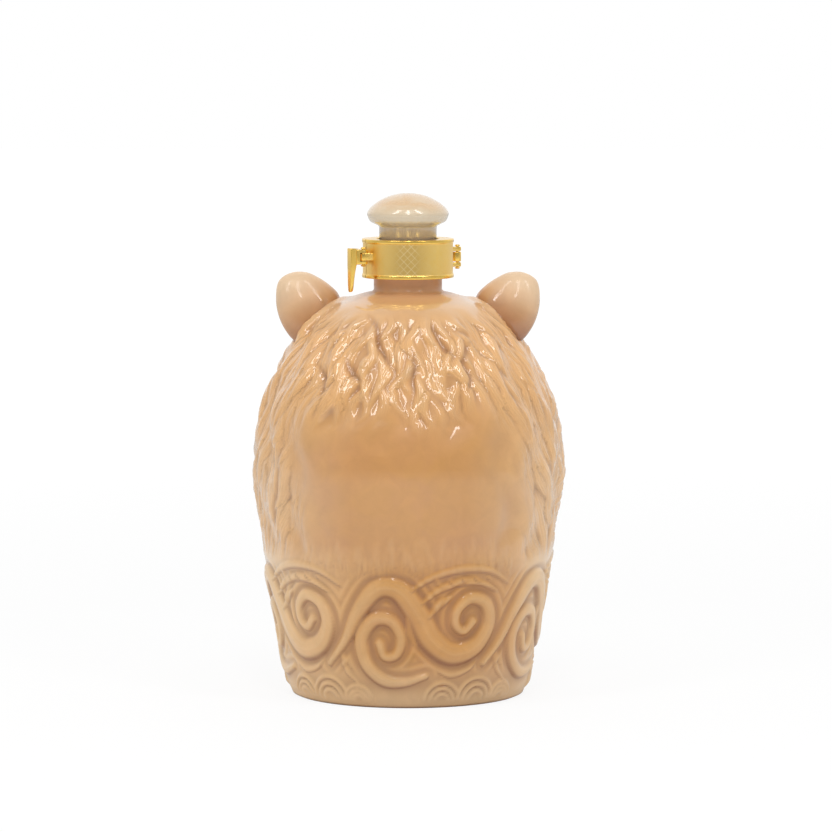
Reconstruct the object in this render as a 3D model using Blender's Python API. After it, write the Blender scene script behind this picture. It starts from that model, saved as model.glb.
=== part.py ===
"""Ceramic spirit bottle moulded as a lion's head, with a corked knob stopper and a brass collar
that is hinged on one side of the neck and latched on the other.

Metres, +Z up. The origin is at the centre of the foot, under the axis of the neck. The face looks
along +Y and the plain panel of the back along -Y. The collar's latch is at -X, its hinge at +X.
"""

import math

import bmesh
import bpy
import numpy as np
from mathutils import Matrix, Vector

MM = 0.001

# Fits and cutting allowances
seat_gap = 0.3 * MM
pivot_gap = 0.25 * MM
cut_overrun = 2.0 * MM

# Body: outline, walls and foot
belly_width = 122.4 * MM
body_depth = 119.0 * MM
belly_height = 90.0 * MM
body_height = 157.0 * MM
foot_width = 91.4 * MM
foot_edge_radius = 1.6 * MM
foot_ring_width = 6.5 * MM
foot_recess_depth = 2.5 * MM
body_wall = 5.0 * MM

# The outline's points between foot and belly, and between belly and neck,
# as (share of the height, share of the step in radius)
lower_outline_shares = ((0.10, 0.20), (0.31, 0.41), (0.52, 0.64), (0.67, 0.75), (0.87, 0.94))
upper_outline_shares = ((0.0, 1.0), (0.20, 0.970), (0.39, 0.912), (0.56, 0.800), (0.69, 0.682),
                        (0.82, 0.525), (0.92, 0.345), (0.975, 0.160), (1.0, 0.02))

# How far round a rounded edge its middle point stands in from the corner
edge_middle_share = 0.3

# Neck: shaft, lip that the collar grips, and bore
neck_width = 26.6 * MM
neck_length = 17.0 * MM
lip_step = 2.0 * MM
lip_edge_radius = 1.0 * MM
bore_width = 18.6 * MM
mouth_flare = 0.8 * MM

# Face, in heights above the foot and offsets from the middle plane
face_height = 99.0 * MM
face_half_width = 38.0 * MM
face_half_height = 46.0 * MM
face_recess = 10.0 * MM
forehead_height = 134.0 * MM
forehead_lift = 4.5 * MM
brow_height = 119.0 * MM
brow_offset = 16.0 * MM
brow_lift = 3.8 * MM
eye_height = 108.0 * MM
eye_offset = 19.0 * MM
eye_width = 14.0 * MM
eye_socket_depth = 4.2 * MM
eyeball_lift = 5.0 * MM
bridge_width = 20.0 * MM
bridge_lift = 5.4 * MM
nose_height = 88.0 * MM
nose_width = 22.0 * MM
nose_lift = 1.8 * MM
muzzle_height = 78.0 * MM
muzzle_width = 50.0 * MM
pad_offset = 11.5 * MM
pad_width = 20.0 * MM
pad_lift = 2.6 * MM
mouth_height = 67.0 * MM
mouth_half_width = 17.0 * MM
mouth_line_width = 3.6 * MM
mouth_depth = 1.6 * MM
chin_height = 57.0 * MM
chin_width = 21.0 * MM
chin_lift = 7.0 * MM
cheek_offset = 30.0 * MM
cheek_height = 86.0 * MM
cheek_width = 22.0 * MM
cheek_lift = 4.5 * MM
ruff_lift = 1.8 * MM
ruff_locks = 19
ruff_reach_share = 1.32
ruff_sweep = 2.4

# Mane on the sides and back: wavy ridges that fall from the crown round a plain panel
mane_foot = 56.0 * MM
mane_top = 152.0 * MM
mane_fade = 12.0 * MM
mane_ridges = 17
mane_depth = 2.6 * MM
mane_sway = 1.3
mane_tuft_length = 36.0 * MM
panel_half_width = 41.0 * MM
panel_height = 110.0 * MM

# Where the face's oval fades out, as shares of its half sizes, and how soon it starts at the sides
face_edge_share = 1.2
face_fade_share = 0.4
side_fade_share = 0.4

# Steepness of the hills that make the face: 1 is a plain hill, more gives a flatter top
blunt_hill = 1.5
flat_hill = 2.0

# Ears
ear_width = 26.4 * MM
ear_height = 28.0 * MM
ear_thickness = 12.0 * MM
ear_spacing = 77.4 * MM
ear_drop = 5.8 * MM
ear_set_forward = 1.0 * MM
ear_lean = math.radians(14.0)
ear_toe_out = math.radians(12.0)

# An ear's outline seen from the back, as shares of its half width, outwards, and half height
ear_outline_shares = ((0.95, 0.24), (0.84, 0.74), (0.45, 0.97), (0.0, 0.97), (-0.36, 0.81),
                      (-0.67, 0.60), (-0.92, 0.34), (-1.0, 0.0), (-0.88, -0.40),
                      (-0.52, -0.82), (0.0, -1.0), (0.42, -0.96), (0.70, -0.66),
                      (0.89, -0.24))

# An ear's section, as (share of the half width, share of the thickness towards the front)
ear_section_shares = ((0.34, -0.49), (0.64, -0.41), (0.87, -0.25), (1.0, 0.02), (0.97, 0.20),
                      (0.85, 0.26), (0.68, 0.14), (0.45, -0.05), (0.22, -0.14))
ear_back_share = -0.51
ear_hollow_share = -0.17

# Band of scrolls round the foot: its ground, and the bays that repeat round scroll_radius
band_foot = 2.0 * MM
band_height = 58.0 * MM
band_fade = 8.0 * MM
band_depth = 0.8 * MM
scroll_bays = 5
scroll_radius = 52.0 * MM
scroll_width = 9.5 * MM
scroll_lift = 1.9 * MM
scroll_root_depth = 1.0 * MM

# Where the first bay starts, as a share of a bay from the middle of the back
scroll_start_share = -0.41

# The two scrolls of a bay: (share of the bay's width, of the band's height, of the full width)
wave_scroll_shares = ((-0.10, 0.29, 0.25), (0.02, 0.45, 0.42), (0.12, 0.65, 0.63),
                      (0.24, 0.81, 0.79), (0.36, 0.80, 0.89), (0.46, 0.65, 0.95),
                      (0.55, 0.47, 1.0), (0.68, 0.37, 0.95), (0.83, 0.41, 0.82),
                      (0.91, 0.55, 0.70), (0.88, 0.69, 0.60), (0.78, 0.74, 0.53),
                      (0.70, 0.67, 0.45), (0.69, 0.57, 0.40), (0.745, 0.52, 0.38),
                      (0.80, 0.58, 0.38))
curl_scroll_shares = ((0.52, 0.22, 0.26), (0.38, 0.18, 0.42), (0.25, 0.20, 0.58),
                      (0.15, 0.31, 0.63), (0.13, 0.47, 0.63), (0.21, 0.60, 0.60),
                      (0.315, 0.595, 0.55), (0.37, 0.48, 0.48), (0.34, 0.37, 0.42),
                      (0.27, 0.355, 0.40), (0.24, 0.44, 0.40))

# A scroll's section: (share of the half width, share of the lift)
scroll_section_shares = ((1.0, 0.0), (0.55, 0.85), (-0.55, 0.85), (-1.0, 0.0))

# Stopper
knob_width = 31.8 * MM
knob_height = 12.2 * MM
shank_width = 22.4 * MM
shank_length = 9.0 * MM
cork_width = 18.0 * MM
cork_length = 20.0 * MM
cork_chamfer = 1.0 * MM
stub_width = 12.0 * MM
stub_length = 11.0 * MM

# The knob's outline above the shank, as (share of the half width, share of the height)
knob_outline_shares = ((0.775, 0.01), (0.925, 0.10), (0.98, 0.235), (1.0, 0.335), (0.98, 0.43),
                       (0.89, 0.575), (0.685, 0.765), (0.455, 0.905), (0.20, 0.985))

# Collar
collar_height = 15.1 * MM
collar_wall = 1.2 * MM
collar_play = 1.4 * MM
collar_drop = 11.3 * MM
collar_flange = 1.2 * MM
collar_top_opening = 24.8 * MM
collar_rim_height = 1.6 * MM
collar_rim_step = 0.35 * MM
collar_edge = 0.3 * MM
split_angle = math.radians(23.0)

# Hinge
hinge_reach = 3.1 * MM
hinge_height = 7.8 * MM
hinge_middle_height = 3.8 * MM
knuckle_width = 2.9 * MM
knuckle_root_share = 0.4
hinge_pin_width = 1.2 * MM

# Latch
latch_offset = 3.4 * MM
latch_reach = 2.3 * MM
latch_lift = 1.0 * MM
latch_pin_width = 1.2 * MM
lug_height = 2.9 * MM
lug_width = 3.4 * MM
tine_height = 1.2 * MM
arm_width = 3.4 * MM
arm_length = 5.9 * MM
blade_width = 4.2 * MM
blade_tip_width = 2.8 * MM
blade_thickness = 2.4 * MM
blade_tip_thickness = 1.3 * MM
blade_length = 16.9 * MM
blade_rise = 0.5 * MM
finger_thickness = 1.5 * MM
finger_overhang = 0.7 * MM
keeper_gap = 2.3 * MM
keeper_width = 1.6 * MM
keeper_rise = 1.4 * MM
keeper_height = 3.2 * MM

# The thumb blade's rings from its tip to its full section, as shares of the blade's length, of
# the tip's width and of the tip's thickness, and the rings from there up to the arm
blade_tip_shares = ((0.0, 0.45, 0.55), (0.035, 0.8, 0.9), (0.09, 1.0, 1.0))
blade_climb_shares = (0.25, 0.5, 0.75, 1.0)

# Rivet heads of both pins
rivet_head_step = 0.45 * MM
rivet_head_height = 0.6 * MM

# Shading creases
crisp_crease = math.radians(35.0)
soft_crease = math.radians(65.0)

# Mesh density
body_columns = 72
body_rows = 40
cavity_columns = 40
cavity_rows = 17
ear_steps = 2
round_sides = 40
pin_sides = 16
collar_steps = 26
curve_steps = 24
scroll_steps = 1.4
front_column_extra = 1.1
face_row_extra = 1.2

# Derived places
neck_radius = neck_width / 2
lip_radius = neck_radius + lip_step
rim_height = body_height + neck_length
shank_base = rim_height + seat_gap
collar_inner = lip_radius + collar_play
collar_outer = collar_inner + collar_wall
collar_base = rim_height - collar_drop
collar_top = collar_base + collar_height
lip_base = collar_base + collar_flange + seat_gap
collar_middle = (collar_base + collar_top) / 2
hinge_radius = collar_outer + hinge_reach
latch_radius = collar_outer + latch_reach
bottle_frame = Matrix.Identity(4)
stopper_frame = Matrix.Translation((0, 0, rim_height))
hinge_frame = (Matrix.Rotation(split_angle, 4, 'Z')
               @ Matrix.Translation((hinge_radius, 0, collar_middle)))
latch_frame = (Matrix.Rotation(split_angle + math.pi, 4, 'Z')
               @ Matrix.Translation((latch_radius, latch_offset, collar_middle + latch_lift)))


def clear_scene():
    for old in list(bpy.data.objects):
        bpy.data.objects.remove(old, do_unlink=True)


def finish_material(name, colour, roughness, metallic, coat):
    material = bpy.data.materials.new(name)
    material.use_nodes = True
    shader = material.node_tree.nodes["Principled BSDF"]
    shader.inputs["Base Color"].default_value = (*colour, 1.0)
    shader.inputs["Roughness"].default_value = roughness
    shader.inputs["Metallic"].default_value = metallic
    shader.inputs["Coat Weight"].default_value = coat
    return material


def glazed_tan():
    return finish_material("glazed_tan", (0.78, 0.53, 0.34), 0.28, 0.0, 0.6)


def glazed_ivory():
    return finish_material("glazed_ivory", (0.82, 0.73, 0.58), 0.18, 0.0, 0.8)


def natural_cork():
    return finish_material("natural_cork", (0.62, 0.42, 0.25), 0.85, 0.0, 0.0)


def polished_brass(name):
    return finish_material(name, (0.90, 0.66, 0.25), 0.22, 1.0, 0.0)


def place_mesh(name, mesh, frame, material, crease=crisp_crease):
    """Make an object whose mesh is given in world places and whose origin stands at frame."""
    mesh.transform(frame.inverted())
    piece = bpy.data.objects.new(name, mesh)
    bpy.context.scene.collection.objects.link(piece)
    piece.matrix_world = frame
    if material:
        mesh.materials.append(material)
    mesh.shade_smooth()
    mesh.set_sharp_from_angle(angle=crease)
    return piece


def loft_mesh(name, rings, closed_ends=True):
    """Join rings of equally many points, bottom to top and counter-clockwise from above."""
    shape = bmesh.new()
    loops = [[shape.verts.new(point) for point in ring] for ring in rings]
    for low, high in zip(loops, loops[1:]):
        for near in range(len(low)):
            far = (near + 1) % len(low)
            shape.faces.new((low[near], low[far], high[far], high[near]))
    if closed_ends:
        shape.faces.new(list(reversed(loops[0])))
        shape.faces.new(loops[-1])
    mesh = bpy.data.meshes.new(name)
    shape.to_mesh(mesh)
    shape.free()
    return mesh


def capped_loft_mesh(name, rings, first_point, last_point):
    """Loft rings and close each end with a fan to a point."""
    mesh = loft_mesh(name, rings, closed_ends=False)
    shape = bmesh.new()
    shape.from_mesh(mesh)
    shape.verts.ensure_lookup_table()
    count = len(rings[0])
    base = [shape.verts[near] for near in range(count)]
    crown = [shape.verts[near - count] for near in range(count)]
    first = shape.verts.new(first_point)
    last = shape.verts.new(last_point)
    for near in range(count):
        far = (near + 1) % count
        shape.faces.new((base[far], base[near], first))
        shape.faces.new((crown[near], crown[far], last))
    shape.to_mesh(mesh)
    shape.free()
    return mesh


def circle(radius, height, sides):
    return [(radius * math.cos(2 * math.pi * step / sides),
             radius * math.sin(2 * math.pi * step / sides), height) for step in range(sides)]


def turned_mesh(name, outline, sides):
    """Turn an outline of (radius, height) points, bottom to top, into a closed solid."""
    return loft_mesh(name, [circle(radius, height, sides) for radius, height in outline])


def prism_mesh(name, outline, low, high):
    """Extrude a counter-clockwise outline of (x, y) points from low to high."""
    return loft_mesh(name, [[(x, y, height) for x, y in outline] for height in (low, high)])


def add_tool(owner, mesh, frame, operation):
    """Join or cut owner with a hidden tool object, whose mesh is given in frame's own places."""
    tool = bpy.data.objects.new(mesh.name, mesh)
    bpy.context.scene.collection.objects.link(tool)
    tool.matrix_world = frame
    tool.hide_render = True
    tool.display_type = 'WIRE'
    step = owner.modifiers.new(mesh.name, 'BOOLEAN')
    step.operation = operation
    step.solver = 'EXACT'
    step.object = tool
    return tool


def smooth_outline(points):
    """Run a Catmull-Rom curve through the points, curve_steps to each span."""
    fixed = np.array(points, dtype=float)
    padded = np.vstack((2 * fixed[0] - fixed[1], fixed, 2 * fixed[-1] - fixed[-2]))
    share = np.arange(curve_steps)[:, None] / curve_steps
    spans = []
    for start in range(len(fixed) - 1):
        before, here, ahead, after = padded[start:start + 4]
        spans.append(here + share * (ahead - before) / 2
                     + share ** 2 * (before - 2.5 * here + 2 * ahead - after / 2)
                     + share ** 3 * (1.5 * (here - ahead) + (after - before) / 2))
    return np.vstack(spans + [fixed[-1:]])


def spread(weights, count):
    """Pick count places in a row of weighted samples, closer together where weights are high."""
    reach = np.concatenate(([0.0], np.cumsum((weights[1:] + weights[:-1]) / 2)))
    wanted = np.linspace(0.0, reach[-1], count)
    return np.interp(wanted, reach, np.arange(len(weights)))


def body_outline():
    """Half widths and heights of the body from the foot's edge to the neck's root."""
    foot = foot_width / 2
    belly = belly_width / 2
    points = [(foot, foot_edge_radius)]
    for height_share, step_share in lower_outline_shares:
        points.append((foot + step_share * (belly - foot), height_share * belly_height))
    for height_share, step_share in upper_outline_shares:
        points.append((neck_radius + step_share * (belly - neck_radius),
                       belly_height + height_share * (body_height - belly_height)))
    return smooth_outline(points)


def bump(x, z, x_reach, z_reach, fullness=1.0):
    """A smooth hill of height 1 at zero; a larger fullness gives a flatter top, steeper sides."""
    return np.exp(-((x / x_reach) ** 2 + (z / z_reach) ** 2) ** fullness)


def face_oval(x, z):
    """1 inside the face's oval and 0 in the mane round it."""
    distance = np.sqrt((x / face_half_width) ** 2 + ((z - face_height) / face_half_height) ** 2)
    inside = np.clip((face_edge_share - distance) / face_fade_share, 0.0, 1.0)
    return inside * inside * (3 - 2 * inside)


def face_relief(x, z, muzzle_lift):
    """Height of the lion's face over the plain body, for points on the body's front."""
    side = np.abs(x)
    relief = -face_recess * face_oval(x, z)
    relief += forehead_lift * bump(x, z - forehead_height, face_half_width / 2,
                                   forehead_height - brow_height)
    relief += brow_lift * bump(side - brow_offset, z - brow_height - (side - brow_offset) / 3,
                               brow_offset / 1.6, (brow_height - eye_height) / 1.6)
    eye_rise = z - eye_height - (side - eye_offset) / 4
    relief -= eye_socket_depth * bump(side - eye_offset, eye_rise, eye_width / 1.5, eye_width / 1.9)
    relief += eyeball_lift * bump(side - eye_offset, eye_rise, eye_width / 2.2, eye_width / 3.2)
    bridge_length = brow_height - nose_height
    relief += bridge_lift * bump(x, z - brow_height + bridge_length / 3, bridge_width / 2,
                                 bridge_length / 1.7, flat_hill)
    nose_taper = nose_width / 2 + (z - nose_height) / 2
    relief += nose_lift * bump(x, z - nose_height, np.maximum(nose_taper, nose_width / 6),
                               nose_width / 3.4, flat_hill)
    relief += muzzle_lift * bump(x, z - muzzle_height, muzzle_width / 2, muzzle_width / 2.7,
                                 blunt_hill)
    relief += pad_lift * bump(side - pad_offset, z - muzzle_height, pad_width / 2, pad_width / 2)
    mouth_fall = (mouth_height - chin_height) * (side / mouth_half_width) ** 2
    across_mouth = bump(side, 0, mouth_half_width, 1, flat_hill)
    relief -= mouth_depth * across_mouth * bump(z - mouth_height + mouth_fall, 0,
                                                mouth_line_width, 1)
    relief += chin_lift * bump(x, z - chin_height, chin_width / 2, chin_width / 2.6)
    relief += cheek_lift * bump(side - cheek_offset, z - cheek_height, cheek_width / 2,
                                cheek_width / 1.5)
    return relief + ruff_relief(x, z)


def ruff_relief(x, z):
    """The ring of thick locks in which the mane meets the face."""
    distance = np.sqrt((x / face_half_width) ** 2 + ((z - face_height) / face_half_height) ** 2)
    turn = np.arctan2(np.abs(x), z - face_height)
    lock = np.cos(ruff_locks * turn + ruff_sweep * (distance - 1))
    closeness = bump(distance - ruff_reach_share, 0.0, ruff_reach_share - 1, 1.0)
    return ruff_lift * closeness * lock


def mane_relief(x, z, angle):
    """How far the hollows between the mane's ridges lie under the plain skin."""
    step = 2 * math.pi * z / mane_tuft_length
    ridge = np.cos(mane_ridges * angle + mane_sway * np.sin(step + 2 * angle))
    tuft = np.cos(step / 2 + (mane_ridges // 2) * angle)
    hollow = mane_depth * (1 - ridge) * (3 + tuft) / 8
    ends = np.clip((z - mane_foot) / mane_fade, 0, 1) * np.clip((mane_top - z) / mane_fade, 0, 1)
    panel = (np.clip((panel_half_width - np.abs(x)) / mane_fade, 0, 1)
             * np.clip((panel_height - z) / mane_fade, 0, 1) * (np.sin(angle) < 0))
    return -hollow * ends * (1 - panel)


def body_depth_share(height):
    """Depth of a level section as a share of its width: round at foot and neck."""
    fullness = np.sin(math.pi * np.clip(height / body_height, 0.0, 1.0)) ** 2
    return 1 + (body_depth / belly_width - 1) * fullness


def band_ground(height):
    """How far the ground of the band of scrolls lies under the plain skin."""
    rise = np.clip((height - band_foot) / band_fade, 0.0, 1.0)
    fall = np.clip((band_height - height) / band_fade, 0.0, 1.0)
    return band_depth * rise * rise * (3 - 2 * rise) * fall * fall * (3 - 2 * fall)


def body_surface(columns, rows, inset):
    """Grid of points on the head, rows from foot to neck, set in from the glazed skin by inset."""
    outline = body_outline()
    row_gaps = np.linalg.norm(np.gradient(outline, axis=0), axis=1)
    face_closeness = np.exp(-((outline[:, 1] - face_height) / face_half_height) ** 2)
    row_places = spread(row_gaps * (1 + face_row_extra * face_closeness), rows)
    samples = np.arange(len(outline))
    radius = np.interp(row_places, samples, outline[:, 0])[:, None]
    height = np.interp(row_places, samples, outline[:, 1])[:, None]

    angles = np.linspace(-math.pi / 2, 3 * math.pi / 2, curve_steps * columns + 1)
    front_closeness = np.exp(-((angles - math.pi / 2) / (math.pi / 4)) ** 2)
    column_places = spread(1 + front_column_extra * front_closeness, columns + 1)[:-1]
    angle = np.interp(column_places, np.arange(len(angles)), angles)[None, :]

    x = radius * np.cos(angle)
    y = radius * np.sin(angle) * body_depth_share(height)
    z = height + 0 * angle
    skin = np.stack((x, y, z), axis=-1)
    along_row = np.roll(skin, -1, axis=1) - np.roll(skin, 1, axis=1)
    up_column = np.gradient(skin, axis=0)
    normal = np.cross(along_row, up_column)
    normal /= np.linalg.norm(normal, axis=-1, keepdims=True)

    muzzle_row = np.interp(muzzle_height, height[:, 0], radius[:, 0])
    plain_front = muzzle_row * body_depth_share(muzzle_height)
    flat_relief = face_relief(pad_offset, muzzle_height, 0.0)
    unit_relief = face_relief(pad_offset, muzzle_height, 1.0)
    wanted_relief = body_depth / 2 - plain_front
    muzzle_lift = (wanted_relief - flat_relief) / (unit_relief - flat_relief)
    frontness = np.clip(np.sin(angle) / side_fade_share, 0.0, 1.0)
    relief = face_relief(x, z, muzzle_lift) * frontness - band_ground(z)
    relief += mane_relief(x, z, angle) * (1 - frontness)
    return skin + normal * (relief - inset)[..., None]


def column_circle(surface_row, radius, height):
    """A circle whose points stand on the same columns as a row of the surface."""
    ring = []
    for x, y, _ in surface_row:
        reach = math.hypot(x, y)
        ring.append((x / reach * radius, y / reach * radius, height))
    return ring


def skin_point(outline, around, height, lift):
    """A point over the plain skin, counted round scroll_radius from the middle of the back."""
    radius = np.interp(height, outline[:, 1], outline[:, 0])
    slope = np.interp(height, outline[:, 1], np.gradient(outline[:, 0], outline[:, 1]))
    steepness = math.hypot(1, slope)
    reach = radius + lift / steepness
    angle = around / scroll_radius - math.pi / 2
    return (reach * math.cos(angle), reach * math.sin(angle) * body_depth_share(height),
            height - lift * slope / steepness)


def scroll_mesh(name, shares, start, bay_width):
    """A raised scroll along a smooth line over the skin, rooted in the wall."""
    outline = body_outline()
    line = smooth_outline(shares)
    line = line[np.linspace(0, len(line) - 1, round(scroll_steps * len(shares))).astype(int)]
    line[:, 0] = start + line[:, 0] * bay_width
    line[:, 1] *= band_height
    way = np.gradient(line[:, :2], axis=0)
    way /= np.linalg.norm(way, axis=1, keepdims=True)
    rings = []
    for (around, height, width_share), (forward, climb) in zip(line, way):
        half_width = width_share * scroll_width / 2
        lift = scroll_lift * (1 + width_share) / 2 - band_depth
        ring = []
        for across_share, lift_share in scroll_section_shares:
            aside = across_share * half_width
            depth = lift_share * (lift + scroll_root_depth) - scroll_root_depth
            ring.append(skin_point(outline, around - aside * climb, height + aside * forward,
                                   depth))
        rings.append(ring)
    mesh = loft_mesh(name, rings)
    mesh.shade_smooth()
    return mesh


def build_bottle_body(material):
    skin = body_surface(body_columns, body_rows, 0.0)
    foot_row = skin[0]
    foot_flat = foot_width / 2 - foot_edge_radius
    root_row = skin[-1]
    foot_corner = edge_middle_share * foot_edge_radius
    lip_corner = edge_middle_share * lip_edge_radius
    rings = [column_circle(foot_row, foot_flat, 0),
             column_circle(foot_row, foot_width / 2 - foot_corner, foot_corner)]
    rings += [list(map(tuple, row)) for row in skin]
    rings += [column_circle(root_row, neck_radius, body_height + lip_edge_radius),
              column_circle(root_row, neck_radius, lip_base),
              column_circle(root_row, lip_radius, lip_base + lip_step / 2),
              column_circle(root_row, lip_radius, rim_height - lip_edge_radius),
              column_circle(root_row, lip_radius - lip_corner, rim_height - lip_corner),
              column_circle(root_row, lip_radius - lip_edge_radius, rim_height)]
    body = place_mesh("bottle_body", loft_mesh("bottle_body", rings), bottle_frame, material,
                      soft_crease)
    for side in (-1, 1):
        add_tool(body, ear_mesh(side), bottle_frame, 'UNION')
    bay_width = 2 * math.pi * scroll_radius / scroll_bays
    for bay in range(scroll_bays):
        start = (bay + scroll_start_share) * bay_width
        add_tool(body, scroll_mesh(f"wave_scroll_{bay + 1}", wave_scroll_shares, start,
                                   bay_width), bottle_frame, 'UNION')
        add_tool(body, scroll_mesh(f"curl_scroll_{bay + 1}", curl_scroll_shares, start,
                                   bay_width), bottle_frame, 'UNION')
    add_tool(body, cavity_mesh(), bottle_frame, 'DIFFERENCE')
    add_tool(body, foot_recess_mesh(), bottle_frame, 'DIFFERENCE')
    return body


def ear_mesh(side):
    """A cupped, rounded ear: full at the back, hollow towards the front. side is -1 or 1."""
    middle = Vector((side * ear_spacing / 2, ear_set_forward, body_height - ear_drop))
    lean = (Matrix.Translation(middle) @ Matrix.Rotation(-side * ear_toe_out, 4, 'Z')
            @ Matrix.Rotation(-ear_lean, 4, 'X'))
    clockwise = ear_outline_shares if side < 0 else tuple(reversed(ear_outline_shares))
    closed = (clockwise[-1], *clockwise, *clockwise[:2])
    outline = smooth_outline(closed)[curve_steps:-curve_steps:curve_steps // ear_steps][:-1]
    rings = []
    for reach_share, depth_share in ear_section_shares:
        ring = []
        for across_share, up_share in outline:
            across = side * reach_share * ear_width / 2 * across_share
            upward = reach_share * ear_height / 2 * up_share
            ring.append(lean @ Vector((across, depth_share * ear_thickness, upward)))
        rings.append(ring)
    back = lean @ Vector((0, ear_back_share * ear_thickness, 0))
    hollow = lean @ Vector((0, ear_hollow_share * ear_thickness, 0))
    name = "ear_left" if side < 0 else "ear_right"
    mesh = capped_loft_mesh(name, rings, back, hollow)
    mesh.shade_smooth()
    return mesh


def cavity_mesh():
    """The space for the liquid with the bore of the neck over it, as one closed core."""
    lining = body_surface(cavity_columns, cavity_rows, body_wall)
    floor = foot_recess_depth + body_wall
    bore = bore_width / 2
    ceiling = body_height - body_wall
    kept = [row for row in lining if row[:, 2].min() > floor + body_wall / 2
            and np.hypot(row[:, 0], row[:, 1]).min() > bore + body_wall / 2
            and row[:, 2].max() < ceiling]
    first = kept[0]
    last = kept[-1]
    floor_radius = np.hypot(first[:, 0], first[:, 1]).min() - body_wall / 2
    rings = [column_circle(first, floor_radius, floor)]
    rings += [list(map(tuple, row)) for row in kept]
    rings += [column_circle(last, bore, ceiling),
              column_circle(last, bore, rim_height - mouth_flare),
              column_circle(last, bore + mouth_flare + cut_overrun, rim_height + cut_overrun)]
    return loft_mesh("cavity_core", rings)


def foot_recess_mesh():
    inner = foot_width / 2 - foot_edge_radius - foot_ring_width
    outline = [(inner + cut_overrun, -cut_overrun), (inner - foot_recess_depth, foot_recess_depth)]
    return turned_mesh("foot_recess", outline, round_sides)


def build_stopper_knob(material):
    shank = shank_width / 2
    knob = knob_width / 2
    knob_base = shank_base + shank_length
    outline = [(shank - seat_gap, shank_base), (shank, shank_base + seat_gap)]
    outline.append((shank, knob_base))
    for reach_share, height_share in knob_outline_shares:
        outline.append((knob * reach_share, knob_base + knob_height * height_share))
    rings = [circle(radius, height, round_sides) for radius, height in outline]
    top = (0, 0, knob_base + knob_height)
    mesh = capped_loft_mesh("stopper_knob", rings, (0, 0, shank_base), top)
    piece = place_mesh("stopper_knob", mesh, stopper_frame, material)
    socket_radius = stub_width / 2 + seat_gap
    socket_top = shank_base + stub_length + seat_gap
    socket = turned_mesh("knob_socket", [(socket_radius, shank_base - cut_overrun),
                                         (socket_radius, socket_top)], round_sides)
    add_tool(piece, socket, bottle_frame, 'DIFFERENCE')
    return piece


def build_stopper_cork(material):
    cork = cork_width / 2
    stub = stub_width / 2
    foot = rim_height - cork_length
    outline = [(cork - cork_chamfer, foot), (cork, foot + cork_chamfer),
               (cork, rim_height), (stub, rim_height), (stub, shank_base + stub_length)]
    mesh = turned_mesh("stopper_cork", outline, round_sides)
    return place_mesh("stopper_cork", mesh, stopper_frame, material)


def collar_section():
    """The collar's channel section as (radius, height) points, counter-clockwise."""
    band = collar_outer - collar_rim_step
    grip = neck_radius + seat_gap
    opening = collar_top_opening / 2
    return [(grip, collar_base),
            (collar_outer - collar_edge, collar_base),
            (collar_outer, collar_base + collar_edge),
            (collar_outer, collar_base + collar_rim_height - collar_rim_step),
            (band, collar_base + collar_rim_height),
            (band, collar_top - collar_rim_height),
            (collar_outer, collar_top - collar_rim_height + collar_rim_step),
            (collar_outer, collar_top - collar_edge),
            (collar_outer - collar_edge, collar_top),
            (opening, collar_top),
            (opening, collar_top - collar_flange),
            (collar_inner, collar_top - collar_flange),
            (collar_inner, collar_base + collar_flange),
            (grip, collar_base + collar_flange)]


def collar_half_mesh(name, start_angle):
    """Half of the collar, swept through half a turn less the gap at each end."""
    end_gap = seat_gap / 2 / collar_inner
    first = start_angle + end_gap
    sweep = math.pi - 2 * end_gap
    section = collar_section()
    rings = []
    for step in range(collar_steps + 1):
        angle = first + sweep * step / collar_steps
        rings.append([(radius * math.cos(angle), radius * math.sin(angle), height)
                      for radius, height in section])
    mesh = loft_mesh(name, rings)
    mesh.flip_normals()
    return mesh


def outer_arc(radius, first, last):
    """Points round the origin from angle first to angle last, as finely as a pin's outline."""
    steps = round(pin_sides * (last - first) / (2 * math.pi))
    angles = [first + (last - first) * step / steps for step in range(steps + 1)]
    return [(radius * math.cos(angle), radius * math.sin(angle)) for angle in angles]


def pin_bore_mesh(name, radius, reach):
    return turned_mesh(name, [(radius, -reach), (radius, reach)], pin_sides)


def knuckle_mesh(name, low, high, side):
    """A hinge knuckle with its web to the collar, in the hinge's frame. side is -1 or 1."""
    radius = knuckle_width / 2
    outline = outer_arc(radius, -math.pi / 2, math.pi / 2)
    root = -(hinge_reach + collar_wall / 2)
    neck = -radius
    near = side * seat_gap / 2
    far = side * radius
    corner = (neck, -side * knuckle_root_share * radius)
    web = [(root, far), (root, near), (neck, near), corner]
    outline += web if side > 0 else list(reversed(web))
    return prism_mesh(name, outline, low, high)


def build_collar_rear_half(material):
    mesh = collar_half_mesh("collar_rear_half", split_angle + math.pi)
    piece = place_mesh("collar_rear_half", mesh, bottle_frame, material)
    outer = hinge_height / 2
    inner = hinge_middle_height / 2 + seat_gap
    add_tool(piece, knuckle_mesh("knuckle_upper", inner, outer, -1), hinge_frame, 'UNION')
    add_tool(piece, knuckle_mesh("knuckle_lower", -outer, -inner, -1), hinge_frame, 'UNION')
    hinge_bore = hinge_pin_width / 2 + pivot_gap
    add_tool(piece, pin_bore_mesh("rear_hinge_bore", hinge_bore, hinge_height), hinge_frame,
             'DIFFERENCE')
    add_tool(piece, lug_mesh(), latch_frame, 'UNION')
    latch_bore = latch_pin_width / 2 + pivot_gap
    add_tool(piece, pin_bore_mesh("lug_bore", latch_bore, lug_height), latch_frame, 'DIFFERENCE')
    return piece


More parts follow.
